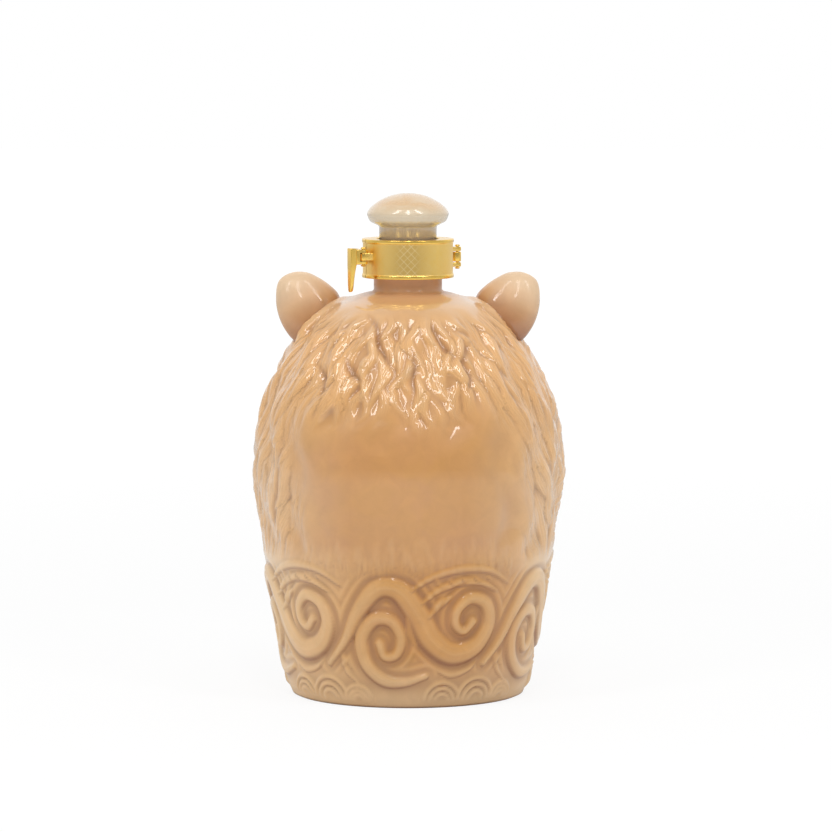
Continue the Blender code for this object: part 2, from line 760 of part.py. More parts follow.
def build_collar_front_half(material):
    mesh = collar_half_mesh("collar_front_half", split_angle)
    piece = place_mesh("collar_front_half", mesh, hinge_frame, material)
    reach = hinge_middle_height / 2
    add_tool(piece, knuckle_mesh("knuckle_middle", -reach, reach, 1), hinge_frame, 'UNION')
    hinge_bore = hinge_pin_width / 2 + pivot_gap
    add_tool(piece, pin_bore_mesh("front_hinge_bore", hinge_bore, hinge_height), hinge_frame,
             'DIFFERENCE')
    add_tool(piece, keeper_mesh(), latch_frame, 'UNION')
    return piece


def lug_mesh():
    """The rounded lug that carries the latch pin, in the latch's frame."""
    radius = lug_width / 2
    root = -(latch_reach + collar_wall)
    outline = outer_arc(radius, -math.pi / 2, math.pi / 2)
    outline += [(root, radius), (root, -radius)]
    return prism_mesh("latch_lug", outline, -lug_height / 2, lug_height / 2)


def keeper_mesh():
    """The ridge on the front half that the lever's finger lies over, in the latch's frame."""
    near = -(latch_offset + keeper_gap)
    far = near - keeper_width
    root = -(latch_reach + collar_wall)
    crest = -latch_reach + keeper_rise
    lean = keeper_width / 4
    outline = [(root, far), (crest - lean, far), (crest, far + lean), (crest, near - lean),
               (crest - lean, near), (root, near)]
    return prism_mesh("latch_keeper", outline, -keeper_height / 2, keeper_height / 2)


def build_latch_lever(material):
    """Fork, arm and finger from one outline, with the thumb blade joined on outside."""
    half_height = lug_height / 2 + pivot_gap + tine_height
    half_arm = arm_width / 2
    finger_low = -latch_reach + keeper_rise + seat_gap
    finger_high = finger_low + finger_thickness
    finger_end = -(latch_offset + keeper_gap + keeper_width + finger_overhang)
    soft = finger_thickness / 4
    outline = [(arm_length - blade_thickness / 2, -half_arm),
               (arm_length - blade_thickness / 2, half_arm)]
    outline += outer_arc(half_arm, math.pi / 2, math.pi)
    outline += [(finger_low, -half_arm), (finger_low, finger_end + soft),
                (finger_low + soft, finger_end), (finger_high - soft, finger_end),
                (finger_high, finger_end + soft), (finger_high, -half_arm)]
    mesh = prism_mesh("latch_lever", outline, -half_height, half_height)
    mesh.transform(latch_frame)
    piece = place_mesh("latch_lever", mesh, latch_frame, material)

    slot_height = lug_height / 2 + pivot_gap
    slot_radius = lug_width / 2 + pivot_gap
    slot_back = -(slot_radius + cut_overrun)
    slot_side = half_arm + cut_overrun
    slot = outer_arc(slot_radius, -math.pi / 2, 0)
    slot += [(slot_radius, slot_side), (slot_back, slot_side), (slot_back, -slot_radius)]
    add_tool(piece, prism_mesh("fork_slot", slot, -slot_height, slot_height), latch_frame,
             'DIFFERENCE')
    add_tool(piece, blade_mesh(half_height), latch_frame, 'UNION')
    latch_bore = latch_pin_width / 2 + pivot_gap
    add_tool(piece, pin_bore_mesh("fork_bore", latch_bore, 2 * half_height), latch_frame,
             'DIFFERENCE')
    return piece


def blade_mesh(half_height):
    """The hanging thumb blade, lofted from its rounded tip up to its flat head."""
    top = half_height + blade_rise
    tip = top - blade_length
    rings = []
    for height_share, width_share, depth_share in blade_tip_shares:
        rings.append(blade_ring(tip + height_share * blade_length, 0.0, width_share, depth_share))
    arm_foot = -half_height - tip
    for climb in blade_climb_shares:
        rings.append(blade_ring(tip + climb * arm_foot, climb, 1.0, 1.0))
    rings.append(blade_ring(top, 1.0, 1.0, 1.0))
    return loft_mesh("thumb_blade", rings)


def blade_ring(height, climb, width_share, depth_share):
    """A level section of the blade; climb is 0 at the tip and 1 at the arm."""
    width = width_share * (blade_tip_width + climb * (blade_width - blade_tip_width)) / 2
    swell = climb * climb
    depth = depth_share * (blade_tip_thickness
                           + swell * (blade_thickness - blade_tip_thickness))
    outer = arm_length
    inner = outer - depth
    soft = blade_tip_thickness / 4
    outline = [(inner, -width), (outer - soft, -width), (outer, -width + soft),
               (outer, width - soft), (outer - soft, width), (inner, width)]
    return [(x, y, height) for x, y in outline]


def build_pin(name, width, reach, frame, material):
    """A rivet with a domed head at each end; reach is half the length between the heads."""
    radius = width / 2
    head = radius + rivet_head_step
    low = reach + seat_gap
    high = low + rivet_head_height
    upper = [(radius, low), (head, low), (head, low + rivet_head_height / 2),
             (radius, high)]
    outline = [(r, -z) for r, z in reversed(upper)] + upper
    mesh = turned_mesh(name, outline, pin_sides)
    mesh.transform(frame)
    return place_mesh(name, mesh, frame, material)


def main():
    clear_scene()
    tan = glazed_tan()
    ivory = glazed_ivory()
    brass = polished_brass("collar_brass")
    rivet_brass = polished_brass("rivet_brass")
    build_bottle_body(tan)
    build_stopper_knob(ivory)
    build_stopper_cork(natural_cork())
    build_collar_rear_half(brass)
    build_collar_front_half(brass)
    build_pin("hinge_pin", hinge_pin_width, hinge_height / 2, hinge_frame, rivet_brass)
    latch_grip = lug_height / 2 + pivot_gap + tine_height
    build_pin("latch_pin", latch_pin_width, latch_grip, latch_frame, rivet_brass)
    build_latch_lever(brass)
    bpy.context.view_layer.update()


if __name__ == "__main__":
    main()
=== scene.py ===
"""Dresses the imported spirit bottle: a glazed ceramic lion's head with a moulded mane and a band
of scrolls, an ivory knob on its cork, and a satin brass collar with a hinge and a latch.

Metres, +Z up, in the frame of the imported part. The lion looks along +Y, the plain panel of the
back lies along -Y, the latch is at -X and the hinge at +X.
"""

import math

import bmesh
import bpy
import numpy as np
from bpy.props import FloatProperty, FloatVectorProperty, IntProperty, PointerProperty
from mathutils import Matrix, Vector
from mathutils.bvhtree import BVHTree
from mathutils.kdtree import KDTree


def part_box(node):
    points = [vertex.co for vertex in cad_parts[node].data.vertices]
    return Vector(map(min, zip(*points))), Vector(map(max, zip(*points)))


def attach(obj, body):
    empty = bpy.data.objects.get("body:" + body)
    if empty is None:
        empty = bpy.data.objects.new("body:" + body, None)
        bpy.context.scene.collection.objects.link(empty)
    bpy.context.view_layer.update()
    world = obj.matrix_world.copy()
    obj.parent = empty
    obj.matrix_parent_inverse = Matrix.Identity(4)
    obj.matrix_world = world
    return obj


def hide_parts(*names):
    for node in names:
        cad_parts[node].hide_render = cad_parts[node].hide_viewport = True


bl_info = {
    "name": "Lion Head Spirit Bottle",
    "version": (1, 0, 0),
    "blender": (4, 5, 0),
    "location": "3D View > Sidebar > Bottle",
    "description": "Builds the glazed lion head bottle with its stopper and hinged collar",
    "category": "Object",
}

MM = 0.001
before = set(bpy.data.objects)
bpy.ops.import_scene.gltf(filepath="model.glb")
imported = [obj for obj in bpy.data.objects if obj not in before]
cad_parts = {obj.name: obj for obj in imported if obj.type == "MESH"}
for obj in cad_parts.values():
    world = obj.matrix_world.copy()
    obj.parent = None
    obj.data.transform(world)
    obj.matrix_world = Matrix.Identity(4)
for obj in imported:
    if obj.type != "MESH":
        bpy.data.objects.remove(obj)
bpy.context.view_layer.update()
_, body_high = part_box("bottle_body")
knob_low, knob_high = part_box("stopper_knob")
cork_low, cork_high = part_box("stopper_cork")

# Body outline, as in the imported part
belly_width = 122.4 * MM
body_depth = 119.0 * MM
belly_height = 90.0 * MM
body_height = 157.0 * MM
foot_width = 91.4 * MM
foot_edge_radius = 1.6 * MM
foot_ring_width = 6.5 * MM
foot_recess_depth = 2.5 * MM
body_wall = 5.0 * MM
lower_outline_shares = ((0.10, 0.20), (0.31, 0.41), (0.52, 0.64), (0.67, 0.75), (0.87, 0.94))
upper_outline_shares = ((0.0, 1.0), (0.20, 0.970), (0.39, 0.912), (0.56, 0.800), (0.69, 0.682),
                        (0.82, 0.525), (0.92, 0.345), (0.975, 0.160), (1.0, 0.02))
outline_fade = 5.0 * MM
corner_share = 0.3

# Neck: shaft, lip that the collar grips, and bore
neck_width = 26.6 * MM
neck_root = 1.0 * MM
neck_blend = 3.0 * MM
lip_step = 2.0 * MM
lip_edge_radius = 1.0 * MM
lip_base = 164.2 * MM
lip_hollow_height = 0.6 * MM
lip_hollow_step = 0.4 * MM
lip_swell = 0.2 * MM
rim_height = body_high[2]
bore_width = 18.6 * MM
mouth_flare = 1.0 * MM
mouth_flare_depth = 1.2 * MM
lining_rows = 16
lining_gap = 2.0 * MM
lining_top_gap = 1.0 * MM
floor_edge = 3.0 * MM

# Face, in heights above the foot and offsets from the middle plane
face_height = 99.0 * MM
face_half_width = 38.0 * MM
face_half_height = 46.0 * MM
face_recess = 10.0 * MM
face_fade_shares = (1.2, 0.8)
side_fade_share = 0.4
forehead_height = 134.0 * MM
forehead_lift = 4.5 * MM
brow_height = 119.0 * MM
brow_offset = 16.0 * MM
brow_lift = 3.8 * MM
eye_height = 108.0 * MM
eye_offset = 19.0 * MM
eye_width = 14.0 * MM
eye_socket_depth = 4.2 * MM
eyeball_lift = 5.0 * MM
bridge_width = 20.0 * MM
bridge_lift = 5.4 * MM
nose_height = 88.0 * MM
nose_width = 22.0 * MM
nose_lift = 1.8 * MM
muzzle_height = 78.0 * MM
muzzle_width = 50.0 * MM
pad_offset = 11.5 * MM
pad_width = 20.0 * MM
pad_lift = 2.6 * MM
mouth_height = 67.0 * MM
mouth_half_width = 17.0 * MM
chin_height = 57.0 * MM
chin_width = 21.0 * MM
chin_reach = 8.0 * MM
chin_lift = 7.0 * MM
cheek_offset = 30.0 * MM
cheek_height = 86.0 * MM
cheek_width = 22.0 * MM
cheek_reach = 14.7 * MM
cheek_lift = 4.5 * MM
ruff_lift = 1.8 * MM
ruff_locks = 19
ruff_sweep = 2.4
ruff_reach_share = 1.32
ruff_top_fade = (156.0 * MM, 146.0 * MM)

# Steepness of the face's hills: 1 is a plain hill, more gives a flatter top
blunt_hill = 1.5
flat_hill = 2.0

# Fine marks of the face
eye_tilt_share = 0.25
lid_half_width = 7.2 * MM
lid_half_height = 4.3 * MM
pupil_radius = 1.9 * MM
pupil_shade_radius = 2.4 * MM
nostril_offset = 5.6 * MM
nostril_drop = 2.8 * MM
furrow_fades = ((66.0 * MM, 68.0 * MM), (84.0 * MM, 81.0 * MM))
nose_side_offset = 10.0 * MM
nose_side_fades = ((88.0 * MM, 96.0 * MM), (112.0 * MM, 104.0 * MM))
whisker_columns = 4
whisker_rows = 3
whisker_offset = 9.0 * MM
whisker_height = 80.0 * MM
whisker_step = 4.2 * MM
whisker_drop = 4.4 * MM
whisker_climb = 0.6 * MM
whisker_radius = 0.8 * MM
wrinkle_height = 124.0 * MM

# Mane ridges and the back's panel
mane_foot = 56.0 * MM
mane_top = 152.0 * MM
mane_fade = 12.0 * MM
mane_ridges = 17
mane_depth = 2.6 * MM
mane_sway = 1.3
mane_tuft_length = 36.0 * MM
panel_half_width = 41.0 * MM
panel_height = 110.0 * MM

# Where the locks fade in or out, as (place of none, place of all), and the panel's ragged edges
mane_crown_fade = (151.0 * MM, 144.0 * MM)
mane_foot_fade = (53.0 * MM, 62.0 * MM)
mane_face_fade = (1.12, 0.92)
mane_front_fade = (0.0, 20.0 * MM)
panel_back_fade = (5.0 * MM, -25.0 * MM)
panel_left_fade = (-48.0 * MM, -37.0 * MM)
panel_right_fade = (50.0 * MM, 40.0 * MM)
panel_top_fade = (120.0 * MM, 105.0 * MM)
panel_sway = 2.5 * MM
panel_sway_length = 7.0 * MM
panel_waves = ((3.0 * MM, 5.5 * MM, 0.0), (2.0 * MM, 2.9 * MM, 1.0))

# Locks: which way they are combed, how they are scattered, and the partings between them
comb_turn_depth = 30.0 * MM
comb_back_reach = 70.0 * MM
comb_face_reach = 40.0 * MM
lock_seed = 11
lock_level_share = 0.36
lock_turn_scatter = 0.3
lock_row_scatter = 6
least_lock_cover = 0.04
lock_centre_reach = 34.0 * MM
lock_centre_fade = (10.0 * MM, -20.0 * MM)
lock_bend = 1.8 * MM
lock_sunk_share = 0.62
lock_reach_inwards = 20.0 * MM
mane_blur = 14
groove_depth = 0.75 * MM
sunk_depth = 3.0 * MM
parting_depth = 1.2 * MM
parting_margin = 4.0 * MM
parting_points = (((-15.5, 150.0), (-12.0, 146.0), (-11.2, 141.0), (-7.9, 135.0), (-5.6, 130.5)),
                  ((9.5, 148.0), (11.7, 143.0), (15.0, 138.5), (18.0, 135.0)),
                  ((-24.5, 136.0), (-22.5, 130.5), (-18.0, 126.5)),
                  ((1.5, 139.0), (3.2, 132.5), (1.6, 127.0), (2.8, 121.5)),
                  ((24.5, 140.5), (22.0, 134.0), (24.5, 127.5), (23.0, 122.5)),
                  ((-36.0, 133.0), (-33.0, 126.5), (-34.5, 119.0)))

# Fringe of faint strands under the panel
fringe_seed = 3
fringe_strands = 150
fringe_half_turn = 0.75
fringe_width = 1.6 * MM
fringe_lift = 0.28 * MM

# Band of scrolls
band_foot = 2.0 * MM
band_height = 58.0 * MM
band_fade = 8.0 * MM
band_depth = 0.8 * MM
scroll_bays = 5
scroll_radius = 52.0 * MM
scroll_start_share = -0.41
wave_scroll_shares = ((-0.10, 0.29, 0.25), (0.02, 0.45, 0.42), (0.12, 0.65, 0.63),
                      (0.24, 0.81, 0.79), (0.36, 0.80, 0.89), (0.46, 0.65, 0.95),
                      (0.55, 0.47, 1.0), (0.68, 0.37, 0.95), (0.83, 0.41, 0.82),
                      (0.91, 0.55, 0.70), (0.88, 0.69, 0.60), (0.78, 0.74, 0.53),
                      (0.70, 0.67, 0.45), (0.69, 0.57, 0.40), (0.745, 0.52, 0.38),
                      (0.80, 0.58, 0.38))
curl_scroll_shares = ((0.52, 0.22, 0.26), (0.38, 0.18, 0.42), (0.25, 0.20, 0.58),
                      (0.15, 0.31, 0.63), (0.13, 0.47, 0.63), (0.21, 0.60, 0.60),
                      (0.315, 0.595, 0.55), (0.37, 0.48, 0.48), (0.34, 0.37, 0.42),
                      (0.27, 0.355, 0.40), (0.24, 0.44, 0.40))

# Thin ridges of the band, as (share of the bay, height in mm), and its rows of scallops
plume_points = (((0.43, 46.5), (0.54, 51.5), (0.70, 54.5), (0.88, 53.5), (1.03, 47.5)),
                ((0.49, 41.5), (0.58, 46.5), (0.70, 49.5), (0.83, 49.0), (0.95, 45.0)),
                ((0.53, 36.0), (0.59, 41.0), (0.655, 44.0)))
barb_points = tuple(((0.56 + 0.075 * n, 51.5), (0.60 + 0.075 * n, 47.5 + 0.6 * n))
                    for n in range(5))
tendril_points = (((0.05, 15.5), (0.0, 20), (0.02, 14), (0.10, 9)),
                  ((0.60, 14.5), (0.68, 12.8), (0.78, 14.5), (0.86, 18.5)),
                  ((0.46, 24.5), (0.42, 30), (0.405, 36.5)))
scallops = ((0.63, 7.6 * MM), (0.87, 8.8 * MM), (1.08, 6.2 * MM))
scallop_ring_shares = (1.0, 0.70, 0.42)
scallop_foot = 2.5 * MM
scallop_width = 2.0 * MM
ripple_length = 3.0 * MM
ripple_reach = 11.0 * MM
overhang_reach = 1.2 * MM
overhang_depth = 0.8 * MM

# Ears
ear_width = 26.4 * MM
ear_height = 28.0 * MM
ear_thickness = 12.0 * MM
ear_spacing = 77.4 * MM
ear_drop = 5.8 * MM
ear_forward = 1.0 * MM
ear_lean = math.radians(14.0)
ear_toe_out = math.radians(12.0)
ear_back_share = -0.51
ear_hollow_share = -0.17
ear_rise = 1.5 * MM
ear_rise_reach = 3.2 * MM
ear_rise_span = 24.0 * MM
ear_rise_neck_gap = 8.0 * MM
ear_outline_shares = ((0.95, 0.24), (0.84, 0.74), (0.45, 0.97), (0.0, 0.97), (-0.36, 0.81),
                      (-0.67, 0.60), (-0.92, 0.34), (-1.0, 0.0), (-0.88, -0.40),
                      (-0.52, -0.82), (0.0, -1.0), (0.42, -0.96), (0.70, -0.66),
                      (0.89, -0.24))
ear_section_shares = ((0.34, -0.47), (0.64, -0.375), (0.87, -0.215), (1.0, 0.02), (0.97, 0.20),
                      (0.85, 0.26), (0.68, 0.14), (0.45, -0.05), (0.22, -0.14))

# Collar, hinge and latch
collar_height = 15.1 * MM
collar_wall = 1.2 * MM
collar_inner = 16.7 * MM
collar_base = rim_height - 11.3 * MM
collar_flange = 1.2 * MM
collar_top_opening = 24.8 * MM
collar_rim_height = 1.6 * MM
collar_rim_step = 0.35 * MM
collar_edge_radius = 0.32 * MM
split_angle = math.radians(23.0)
hinge_reach = 3.1 * MM
hinge_height = 7.8 * MM
hinge_middle_height = 3.8 * MM
knuckle_width = 2.9 * MM
pin_width = 1.2 * MM
rivet_head_step = 0.45 * MM
rivet_head_height = 0.6 * MM
rivet_dome_shares = ((0.952, 0.0), (1.0, 0.133), (1.0, 0.367), (0.88, 0.7), (0.6, 0.9),
                     (0.3, 0.983), (0.0, 1.0))
latch_offset = 3.4 * MM
latch_reach = 2.3 * MM
latch_lift = 1.0 * MM
lug_height = 2.9 * MM
lug_width = 3.4 * MM
tine_height = 1.2 * MM
arm_width = 3.4 * MM
arm_length = 5.9 * MM
blade_width = 4.2 * MM
blade_tip_width = 2.8 * MM
blade_thickness = 2.4 * MM
blade_tip_thickness = 1.3 * MM
blade_length = 16.9 * MM
blade_rise = 0.5 * MM
finger_thickness = 1.5 * MM
finger_overhang = 0.7 * MM
keeper_gap = 2.3 * MM
keeper_width = 1.6 * MM
keeper_rise = 1.4 * MM
keeper_height = 3.2 * MM
keeper_edge_radius = 0.35 * MM
blade_edge_radius = 0.4 * MM
blade_tip_shares = ((0.0, 0.45, 0.55), (0.012, 0.68, 0.76), (0.035, 0.85, 0.92),
                    (0.09, 1.0, 1.0))
blade_top_share = 0.86
finger_edge_radius = 0.3 * MM
soft_edge = 0.25 * MM
pivot_gap = 0.25 * MM
seat_gap = 0.3 * MM
cut_overrun = 2.0 * MM
slot_edge = 0.05 * MM

# Stopper
shank_radius = 11.2 * MM
shank_edge_radius = 0.3 * MM
knob_foot_radius = 5.9 * MM
brim_height = 9.0 * MM
brim_undercut = 1.1 * MM
dome_height = 12.2 * MM
knob_outline_shares = ((0.725, -0.035), (0.80, 0.012), (0.925, 0.10), (0.98, 0.235),
                       (1.0, 0.335), (0.98, 0.43), (0.89, 0.575), (0.685, 0.765),
                       (0.455, 0.905), (0.20, 0.985), (0.0, 1.0))
socket_radius = 6.3 * MM
socket_depth = 11.3 * MM
cork_stub_radius = 6.0 * MM
cork_edge_radius = 1.0 * MM
cork_top_edge = 0.2 * MM

# Finishes: maps that the glaze reads, swirl of the noises, and pitches of fine lines
glaze_maps = ("groove_shade", "crest", "shade_and_dark_marks", "ochre", "mane", "strand", "strand_depth")
same_place = 0.05 * MM
noise_swirl = 0.7
strand_lines = 3
cork_grain = 1.6 * MM
wide_line_pitch = 2.9 * MM
fine_line_pitch = 0.62 * MM
band_margin = 0.25 * MM

collar_outer = collar_inner + collar_wall
collar_top = collar_base + collar_height
collar_middle = (collar_base + collar_top) / 2
hinge_frame = (Matrix.Rotation(split_angle, 4, 'Z')
               @ Matrix.Translation((collar_outer + hinge_reach, 0, collar_middle)))
lug_root = -(latch_reach + collar_wall)
latch_frame = (Matrix.Rotation(split_angle + math.pi, 4, 'Z')
               @ Matrix.Translation((collar_outer + latch_reach, latch_offset,
                                     collar_middle + latch_lift)))

# Camera: its place and target, with the focal length and the target's place in picture pixels
picture_width = 832
camera_place = (0.0, -1.8, 0.276)
camera_target = (0.0, 0.0, 0.098)
camera_focal_pixels = 4629.0
camera_centre_pixels = (407.9, 442.5)
sensor_width = 36.0
camera_clip_end = 30.0

# Lamps over the camera: width and length, distance, elevation and azimuths in degrees
lamp_size = (0.11, 0.75)
lamp_distance = 1.0
lamp_elevation = 52.0
lamp_azimuths = {"left_lamp": -44.0, "middle_lamp": 1.0, "right_lamp": 44.0}
floor_size = 12.0


def count_setting(name, default, least, description):
    return IntProperty(name=name, default=default, min=least, description=description)


def length_setting(name, default, description):
    return FloatProperty(name=name, default=default, subtype='DISTANCE', description=description)


def colour_setting(name, colour, description):
    return FloatVectorProperty(name=name, size=4, subtype='COLOR', min=0, max=1,
                               default=(*colour, 1.0), description=description)


class BottleReliefSettings(bpy.types.PropertyGroup):
    skin_columns: count_setting("Columns", 480, 120, "Faces round the head")
    skin_rows: count_setting("Rows", 250, 60, "Faces from the foot up to the neck")
    lock_spacing: length_setting("Lock spacing", 6.0 * MM,
                                 "Distance between the middles of two mane locks")
    lock_length: length_setting("Lock length", 33.0 * MM, "Length of a lock at the sides")
    lock_width: length_setting("Lock width", 8.2 * MM, "Width of a lock at the sides")
    lock_height: length_setting("Lock height", 1.9 * MM, "How far a lock stands over its grooves")
    scroll_width: length_setting("Scroll width", 9.5 * MM,
                                 "Greatest width of a scroll in the band")
    scroll_height: length_setting("Scroll height", 1.9 * MM,
                                  "How far the scrolls stand over the ground")


class BottleFinishSettings(bpy.types.PropertyGroup):
    tan: colour_setting("Tan glaze", (0.590, 0.290, 0.090), "Body colour between the grooves")
    # Straw: the mane's own light colour, lifted further as painted highlight
    straw: colour_setting("Straw", (0.880, 0.490, 0.190), "Light colour of the mane")
    # Ochre: random warm clouds, the knob's dome, and painted light on the tops of the band's
    # strokes
    ochre: colour_setting("Ochre", (0.660, 0.325, 0.070), "Warm colour sprayed on raised places")
    blush: colour_setting("Blush", (0.600, 0.285, 0.120), "Pinkish colour in soft clouds")
    # Umber: painted shade in grooves and under edges, and the face's and cork's own dark marks
    shade_and_dark_marks: colour_setting("Umber", (0.260, 0.110, 0.060), "Brown in grooves and under edges")
    # Cream: painted light on the sides and crests, the face's pale marks and the cork's grain
    cream: colour_setting("Cream", (0.840, 0.600, 0.350), "Pale colour of sides and crests")
    bisque: colour_setting("Bisque", (0.680, 0.520, 0.330), "Pale colour just over the foot")
    # Peach: paler colour over the left of the band
    peach: colour_setting("Peach", (0.880, 0.580, 0.300), "Dusting on the left of the band")
    # Russet: the neck's own brown, with painted shade under the collar
    neck_russet_and_shade: colour_setting("Russet", (0.640, 0.360, 0.190), "Colour of the neck")
    ear_tip: colour_setting("Ear tip", (0.780, 0.580, 0.380), "Colour of the ears' tips")
    # Ear root: painted shade where the ears start
    ear_root_shade: colour_setting("Ear root", (0.360, 0.160, 0.070), "Brown where the ears start")
    ivory: colour_setting("Ivory glaze", (0.700, 0.600, 0.440), "Colour of the knob")
    shank: colour_setting("Shank", (0.480, 0.360, 0.260), "Colour of the knob's shank")
    cork: colour_setting("Cork", (0.480, 0.290, 0.150), "Colour of the cork")
    brass: colour_setting("Brass", (0.950, 0.620, 0.130), "Colour of the plated collar")
    brass_streak: colour_setting("Brass streaks", (0.940, 0.680, 0.240), "Pale streaks in brass")
    # Painted dark reflection in the middle of the satin band
    dark_reflection_brass: colour_setting("Dull brass", (0.460, 0.260, 0.040), "Middle of the satin band")
    bright_brass: colour_setting("Bright brass", (1.0, 0.860, 0.520), "Engraved lines")


class BottleStageSettings(bpy.types.PropertyGroup):
    floor_colour: colour_setting("Floor", (0.94, 0.94, 0.94), "Colour of the floor")
    sky_strength: FloatProperty(name="Sky", default=0.50, min=0,
                                description="Strength of the even light from all sides")
    lamp_power: FloatProperty(name="Strip lamps", default=2.0, min=0, subtype='POWER',
                              description="Power of each tall soft lamp over the camera")


def smooth_curve(points, steps=24):
    """Run a Catmull-Rom curve through the points, with steps places to each span."""
    fixed = np.array(points, dtype=float)
    padded = np.vstack((2 * fixed[0] - fixed[1], fixed, 2 * fixed[-1] - fixed[-2]))
    share = np.arange(steps)[:, None] / steps
    spans = []
    for start in range(len(fixed) - 1):
        before, here, ahead, after = padded[start:start + 4]
        spans.append(here + share * (ahead - before) / 2
                     + share ** 2 * (before - 2.5 * here + 2 * ahead - after / 2)
                     + share ** 3 * (1.5 * (here - ahead) + (after - before) / 2))
    return np.vstack(spans + [fixed[-1:]])


def fade(value, low, high):
    """0 below low, 1 above high and smooth between; with low over high it runs the other way."""
    share = np.clip((value - low) / (high - low), 0.0, 1.0)
    return share * share * (3 - 2 * share)


def ridge(offset, reach, fullness=1.0):
    """A smooth ridge of height 1 at zero; a larger fullness gives a flatter top."""
    return np.exp(-((offset / reach) ** 2) ** fullness)


def hill(x, z, x_reach, z_reach, fullness=1.0):
    """A smooth hill of height 1 at zero, with its own reach each way."""
    return np.exp(-((x / x_reach) ** 2 + (z / z_reach) ** 2) ** fullness)


def blurred(values, reach):
    """Blur a map over reach samples each way."""
    rows = np.fft.fftfreq(values.shape[0])[:, None]
    columns = np.fft.rfftfreq(values.shape[1])[None, :]
    kernel = np.exp(-2 * (math.pi * reach) ** 2 * (rows ** 2 + columns ** 2))
    return np.fft.irfft2(np.fft.rfft2(values) * kernel, s=values.shape)


def body_outline():
    """The head's (radius, height) points from the foot's edge up to the neck."""
    foot = foot_width / 2
    belly = belly_width / 2
    neck = neck_width / 2
    points = [(foot, foot_edge_radius)]
    for height_share, step_share in lower_outline_shares:
        points.append((foot + step_share * (belly - foot), height_share * belly_height))
    for height_share, step_share in upper_outline_shares:
        points.append((neck + step_share * (belly - neck),
                       belly_height + height_share * (body_height - belly_height)))
    return smooth_curve(points)


def depth_share(height):
    """How deep the head is at a height, as a share of its width there."""
    fullness = np.sin(math.pi * np.clip(height / body_height, 0.0, 1.0)) ** 2
    return 1 + (body_depth / belly_width - 1) * fullness


def face_distance(x, z):
    """How far out a place lies from the face's middle; 1 is on the face's oval."""
    return np.sqrt((x / face_half_width) ** 2 + ((z - face_height) / face_half_height) ** 2)


def face_forms(x, z, muzzle_lift):
    """The face's main forms over the plain head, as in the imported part."""
    side = np.abs(x)
    distance = face_distance(x, z)
    relief = -face_recess * fade(distance, *face_fade_shares)
    relief += forehead_lift * hill(x, z - forehead_height, face_half_width / 2,
                                   forehead_height - brow_height)
    relief += brow_lift * hill(side - brow_offset, z - brow_height - (side - brow_offset) / 3,
                               brow_offset / 1.6, (brow_height - eye_height) / 1.6)
    eye_rise = z - eye_height - (side - eye_offset) * eye_tilt_share
    relief -= eye_socket_depth * hill(side - eye_offset, eye_rise, eye_width / 1.5,
                                      eye_width / 1.9)
    relief += eyeball_lift * hill(side - eye_offset, eye_rise, eye_width / 2.2, eye_width / 3.2)
    bridge = brow_height - nose_height
    relief += bridge_lift * hill(x, z - brow_height + bridge / 3, bridge_width / 2,
                                 bridge / 1.7, flat_hill)
    taper = np.maximum(nose_width / 2 + (z - nose_height) / 2, nose_width / 6)
    relief += nose_lift * hill(x, z - nose_height, taper, nose_width / 3.4, flat_hill)
    relief += muzzle_lift * hill(x, z - muzzle_height, muzzle_width / 2, muzzle_width / 2.7,
                                 blunt_hill)
    relief += pad_lift * hill(side - pad_offset, z - muzzle_height, pad_width / 2, pad_width / 2)
    relief += chin_lift * hill(x, z - chin_height, chin_width / 2, chin_reach)
    relief += cheek_lift * hill(side - cheek_offset, z - cheek_height, cheek_width / 2,
                                cheek_reach)
    turn = np.arctan2(side, z - face_height)
    closeness = ridge(distance - ruff_reach_share, ruff_reach_share - 1)
    closeness *= fade(z, *ruff_top_fade)
    locks = np.cos(ruff_locks * turn + ruff_sweep * (distance - 1))
    return relief + ruff_lift * closeness * locks


def mane_relief(x, z, angle):
    """Depth of the hollows between the mane's wavy ridges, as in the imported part."""
    step = 2 * math.pi * z / mane_tuft_length
    wave = np.cos(mane_ridges * angle + mane_sway * np.sin(step + 2 * angle))
    tuft = np.cos(step / 2 + (mane_ridges // 2) * angle)
    hollow = mane_depth * (1 - wave) * (3 + tuft) / 8
    ends = np.clip((z - mane_foot) / mane_fade, 0, 1) * np.clip((mane_top - z) / mane_fade, 0, 1)
    panel = (np.clip((panel_half_width - np.abs(x)) / mane_fade, 0, 1)
             * np.clip((panel_height - z) / mane_fade, 0, 1) * (np.sin(angle) < 0))
    return -hollow * ends * (1 - panel)


